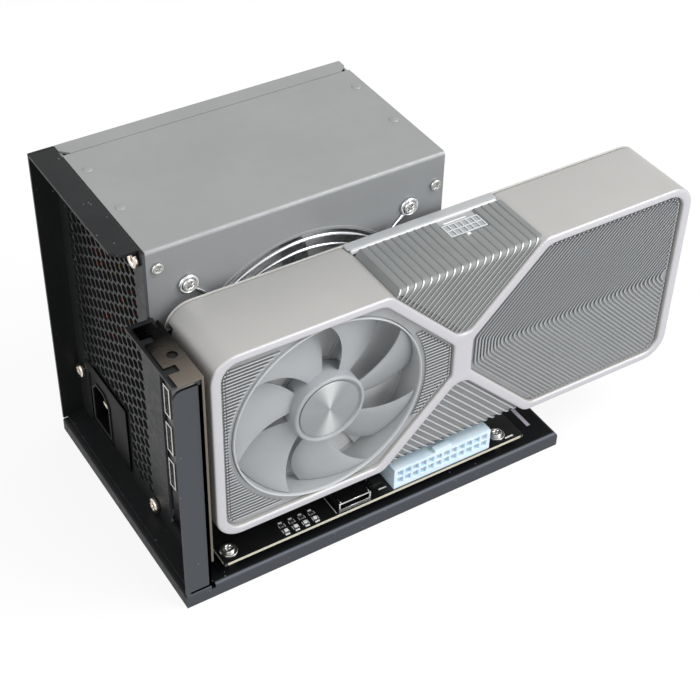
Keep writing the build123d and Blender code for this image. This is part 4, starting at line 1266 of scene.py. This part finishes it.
# Mains inlet: dark plate about it, lip round its mouth, and pins of which the earth's is the longest
mouth_half_width = 8.2
mouth_half_height = 11.7
mouth_chamfer = 4.5
mouth_lip = 1.1
pin_half_width = 2.0
pin_half_height = 1.0
pin_points = ((-2, -7, 0), (-2, 7, 0), (2, 0, 2.2))


def inlet_mouth(grow):
    spot = mid("mains_inlet")
    wide = mouth_half_width + grow
    tall = mouth_half_height + grow
    cut = mouth_chamfer + grow * 0.6
    right = [(wide, -tall), (wide, tall - cut), (wide - cut, tall)]
    corners = right + [(-y, z) for y, z in right[::-1]]
    return [(spot.y + y, spot.z + z) for y, z in corners]


def mains_socket():
    face = inlet_low.x
    proud = 0.5
    inset = 0.3
    around = rectangle(fan_y + band_front + 2, deck_z + 5.5, inlet_high.y + 1.7, deck_z + band_top - 1.5)
    flange = rectangle(inlet_low.y + inset, inlet_low.z + inset, inlet_high.y - inset, inlet_high.z - inset)
    plate_place = wall_plane(face - proud)
    plate_piece("inlet_plate", inlet_black, around, proud, plate_place, 0.15, [flange])
    lip = inlet_mouth(mouth_lip)
    lip_place = wall_plane(face - 0.7)
    plate_piece("inlet_lip", chassis_coat, lip, 0.8, lip_place, 0.25, [inlet_mouth(0)])
    spot = mid("mains_inlet")
    pins = []
    for across, up, reach in pin_points:
        y = spot.y + across
        z = spot.z + up
        tip = low("mains_pins").x - reach
        blade = rectangle(y - pin_half_width, z - pin_half_height, y + pin_half_width, z + pin_half_height)
        pins.append(plate(blade, [], high("mains_pins").x - tip, wall_plane(tip), 0.5))
    piece("inlet_pins", merged(*pins), brass_pin, stands_for=["mains_pins"], smooth=40)


mains_socket()

# Small pressings on the supply: dimples on its top and the rolled lip of its fan opening
dimple_radius = 2.3
dimple_height = 0.7
opening_radius = 57.0


def supply_pressings():
    bm = bmesh.new()
    dome = [(dimple_radius * math.cos(a), dimple_height * math.sin(a)) for a in quarter_turn]
    for across in (5, 135):
        for back in (32, 63):
            revolve(bm, dome, Matrix.Translation((wall_x + across, fan_y + back, supply_top - 0.02)), 24)
    lip = (
        (opening_radius - 0.7, -1.2),
        (opening_radius - 0.7, 0.2),
        (opening_radius - 0.5, 0.4),
        (opening_radius + 0.7, 0.4),
        (opening_radius + 0.9, 0.1),
        (opening_radius + 0.9, -0.1),
    )
    revolve(bm, lip, front_plane(fan_y + 0.2, supply_mid_x, supply_fan_z), 128)
    piece("supply_pressings", bm, supply_sheet, smooth=40)


supply_pressings()


# Dock board: pale edge, plain print, solder and the bright rim of the data port
def board_details():
    bm = bmesh.new()
    inset = 1.5
    long_edge = board_high.x - board_low.x - 2 * inset
    short_edge = board_high.y - board_low.y - 2 * inset
    thick = board_top - board_low.z - 0.2
    brick(bm, (board_low.x + inset, board_low.y - 0.06, board_low.z + 0.1), (long_edge, 0.1, thick))
    brick(bm, (board_low.x - 0.06, board_low.y + inset, board_low.z + 0.1), (0.1, short_edge, thick))
    piece("board_edge", bm, laminate_edge)
    lamp_low, lamp_high = ends("status_lamps")
    rest_low, rest_high = ends("resistors")
    chip_low, chip_high = ends("control_chips")
    port_low, port_high = ends("data_port")
    solders = bmesh.new()
    prints = bmesh.new()

    def printed(x, y, width, length):
        brick(prints, (x, y, board_top), (width, length, 0.03))

    def soldered(x, y, width, length, height):
        brick(solders, (x, y, board_top), (width, length, height))

    step = (lamp_high.x - lamp_low.x - 1.2) / 3
    for column in range(4):
        x = lamp_low.x + 0.6 + column * step
        for y0, y1 in ((lamp_low.y, lamp_high.y), (rest_low.y, rest_high.y)):
            soldered(x - 0.75, y0 - 0.35, 1.5, 0.6, 0.35)
            soldered(x - 0.75, y1 - 0.25, 1.5, 0.6, 0.35)
            printed(x - 1.5, y0 - 0.5, 0.25, y1 - y0 + 1.0)
            printed(x + 1.25, y0 - 0.5, 0.25, y1 - y0 + 1.0)
        printed(x - 0.9, rest_high.y + 1.0, 1.8, 1.0)
        printed(x - 1.1, lamp_low.y - 1.9, 2.2, 0.9)
    for row in range(5):
        y = chip_low.y + (row + 0.5) * (chip_high.y - chip_low.y) / 5
        for x in (chip_low.x - 0.7, chip_high.x - 0.1):
            soldered(x, y - 0.35, 0.8, 0.7, 0.3)
    printed(port_low.x - 1.6, port_low.y - 0.2, 0.3, port_high.y - port_low.y)
    printed(port_high.x + 6.0, port_low.y + 2.0, 4.0, 0.8)
    printed(board_high.x - 9.0, board_low.y + 1.6, 4.5, 0.9)
    piece("board_solder", solders, solder)
    piece("board_print", prints, silk_white)
    outline = rectangle(port_low.x, port_low.z + 0.1, port_high.x, port_high.z)
    mouth = rectangle(port_low.x + 0.6, port_low.z + 0.8, port_high.x - 0.6, port_high.z - 0.6)
    bm = merged(plate(outline, [mouth], 0.5, front_plane(port_low.y + 0.2)))
    spring = ((0.2, 0), (0.5, 0.35), (2.6, 0.35), (3.4, 0.05))
    for x in (port_low.x + 0.9, port_high.x - 0.9):
        wire(bm, [(x, port_low.y + back, port_high.z + up) for back, up in spring], 0.32)
    piece("port_rim", bm, port_metal)


board_details()


# Dark plate under the slot at the strip's foot, painted shade that keeps the white floor from showing
# through, and a pale plate under the slot at the tray's end, painted light seen through it
def brick_piece(name, coat, corner, size):
    bm = bmesh.new()
    brick(bm, corner, size)
    piece(name, bm, coat)


brick_piece("tray_painted_shade", tray_coat, (wall_x - 2, front_y + 1.3, deck_z - 3.2), (7, 6, 0.6))
brick_piece("slot_painted_light", slot_light, (high("base_tray").x - 14, front_y + 6, deck_z - 1.0), (8, 24, 0.6))

# Power header: shallow cells with a contact in each
header_columns = 12
header_pitch = 4.2
header_wall = 1.2
header_foot = 1.0


def power_header():
    start = low("power_header")
    cells = bmesh.new()
    contacts = bmesh.new()
    for column in range(header_columns):
        for row in range(2):
            x = start.x + header_wall + (column + 0.5) * header_pitch
            z = start.z + header_foot + header_wall + (row + 0.5) * header_pitch
            brick(cells, (x - 1.6, start.y + 1.8, z - 1.6), (3.2, 2.0, 3.2))
            brick(contacts, (x - 0.5, start.y + 0.9, z - 0.5), (1.0, 1.2, 1.0))
    piece("header_cells", cells, nylon)
    piece("header_contacts", contacts, solder)


power_header()

# Smooth rubber ring where the supply's cables come out
cable_hole = 13.0
grommet_lip = 2.0


def cable_ring():
    start, stop = ends("cable_grommet")
    spot = mid("cable_grommet")
    bore = cable_hole - 2.5
    waist = cable_hole - 0.6
    outer = (stop.z - start.z) / 2
    end = stop.x - start.x
    profile = (
        (bore, 0),
        (waist, 0),
        (waist, end - grommet_lip),
        (outer - 0.4, end - grommet_lip),
        (outer, end - grommet_lip + 0.4),
        (outer, end - 0.6),
        (outer - 0.6, end),
        (bore + 0.6, end),
        (bore, end - 0.6),
    )
    bm = bmesh.new()
    revolve(bm, profile, facing((start.x, spot.y, spot.z), (0, 1, 0), (0, 0, 1)), closed=True)
    piece("cable_ring", bm, rubber, stands_for=["cable_grommet"], smooth=40)


cable_ring()


# Pale film behind the supply's fan: painted light that lifts the dark gaps between its blades
def fan_painted_light_film():
    start, end = ends("supply_fan_frame")
    bm = bmesh.new()
    outline = rectangle(start.x + 2, supply_fan_z + 6, end.x - 2, end.z - 2)
    slab(bm, outline, 0.4, front_plane(end.y + 0.7))
    piece("fan_painted_light_film", bm, supply_fan_grey)


fan_painted_light_film()

# Choke coils behind the honeycomb: windings of two colours on the upper core
coil_ring = 8.6
coil_section = 3.6
coil_core = 2.9
coil_wire = 0.75


def winding(bm, place, start, end, turns):
    path = []
    points = turns * 10
    for step in range(points + 1):
        around = start + (end - start) * step / points
        coil = math.tau * turns * step / points
        radius = coil_ring + coil_section * math.cos(coil)
        spoke = (radius * math.cos(around), radius * math.sin(around))
        path.append(tuple(place @ Vector((*spoke, coil_section * math.sin(coil)))))
    wire(bm, path, coil_wire, 6)


def choke_coils():
    spot = mid("supply_coils")
    reach = coil_ring + coil_section + coil_wire
    upper = front_plane(spot.y, spot.x, high("supply_coils").z - reach)
    lower = front_plane(spot.y, spot.x, low("supply_coils").z + reach)
    orange = bmesh.new()
    winding(orange, upper, 0.1, math.pi + 0.45, 16)
    winding(orange, lower, 0.1, math.tau - 0.1, 26)
    piece("orange_windings", orange, copper, stands_for=["supply_coils"], smooth=60)
    yellow = bmesh.new()
    winding(yellow, upper, math.pi + 0.5, math.tau - 0.1, 12)
    piece("yellow_winding", yellow, yellow_wire, smooth=60)
    cores = bmesh.new()
    for place in (upper, lower):
        revolve(cores, circle(coil_ring, 0, coil_core, 12), place, 32, closed=True)
    piece("coil_cores", cores, ferrite, smooth=60)


choke_coils()

# Camera, in the photograph's place
camera_place = Vector((-0.30756, -0.46374, 0.52218))
camera_right = Vector((0.8503, -0.5259, 0.0213))
camera_up = Vector((0.330, 0.5642, 0.7568))
camera_data = bpy.data.cameras.new("camera")
camera_data.lens = 80.1
camera_data.sensor_width = 36.0
camera_data.clip_start = 0.01
camera_data.clip_end = 50.0
camera = bpy.data.objects.new("camera", camera_data)
bpy.context.scene.collection.objects.link(camera)
camera_back = camera_right.cross(camera_up).normalized()
camera_up = camera_back.cross(camera_right).normalized()
camera.matrix_world = facing(camera_place, camera_right.normalized(), camera_up)
bpy.context.scene.camera = camera

# Studio: pale floor, white surround and soft lamps
ambient_axis = Vector((0.45, -0.4, 0.8)).normalized()
ambient_slope = (-0.4, 0.9)
ambient_light = (0.45, 0.75)
floor_bounce = (0.4, 0.4, 0.4, 1)
floor_shown = (0.9, 0.9, 0.9, 1)
floor_glow = 0.86
floor_size = 8.0
floor_z = -0.0002
lamp_aim = Vector((0, 0, 0.07))


def seen_directly(made):
    """1 for what the camera, a mirror or glass shows, 0 for the light that falls on the object."""
    camera_ray, mirrored, through = [
        add_node(made, "LightPath", f"Is {kind} Ray") for kind in ("Camera", "Glossy", "Transmission")
    ]
    return calc(made, "MAXIMUM", calc(made, "MAXIMUM", camera_ray, mirrored), through)


def studio_world():
    world = bpy.data.worlds.new("studio")
    world.use_nodes = True
    bpy.context.scene.world = world
    direction = add_node(world, "TexCoord", "Generated")
    slope = calc(world, "DOT_PRODUCT", direction, ambient_axis, kind="VectorMath")
    ambient = stretched(world, slope, *ambient_slope, *ambient_light)
    strength = add_node(world, "Mix", "Result", {"Factor": seen_directly(world), "A": ambient, "B": 1.0})
    feed(world, world.node_tree.nodes["Background"], {"Color": (1, 1, 1, 1), "Strength": strength})


def studio_floor():
    coat = finish("floor_coat", (255, 255, 255), 0.9, Specular_IOR_Level=0.0)
    paint(coat, mixed(coat, seen_directly(coat), floor_bounce, floor_shown))
    glow = add_node(coat, "Emission", "Emission", {"Strength": 1.0})
    share = calc(coat, "MULTIPLY", seen_directly(coat), floor_glow)
    surface = shader_of(coat).outputs["BSDF"]
    blend = add_node(coat, "MixShader", "Shader", {"Fac": share, 1: surface, 2: glow})
    feed(coat, coat.node_tree.nodes["Material Output"], {"Surface": blend})
    mesh = bpy.data.meshes.new("floor")
    corners = [(x, y, floor_z) for x, y in rectangle(-floor_size, -floor_size, floor_size, floor_size)]
    mesh.from_pydata(corners, [], [(0, 1, 2, 3)])
    mesh.materials.append(coat)
    floor = bpy.data.objects.new("floor", mesh)
    bpy.context.scene.collection.objects.link(floor)


def lamp(name, place, watts, size):
    data = bpy.data.lights.new(name, "AREA")
    data.energy = watts
    data.shape = "DISK"
    data.size = size
    made = bpy.data.objects.new(name, data)
    made.location = place
    made.rotation_euler = (lamp_aim - Vector(place)).to_track_quat("-Z", "Y").to_euler()
    bpy.context.scene.collection.objects.link(made)


studio_world()
studio_floor()
lamp("key", (0.7, -0.6, 1.15), watts=13, size=0.9)
lamp("front", (0.5, -1.3, 0.45), watts=5, size=0.8)
lamp("left", (-1.1, -0.35, 0.75), watts=6, size=0.8)
bpy.context.scene.view_settings.view_transform = "Standard"
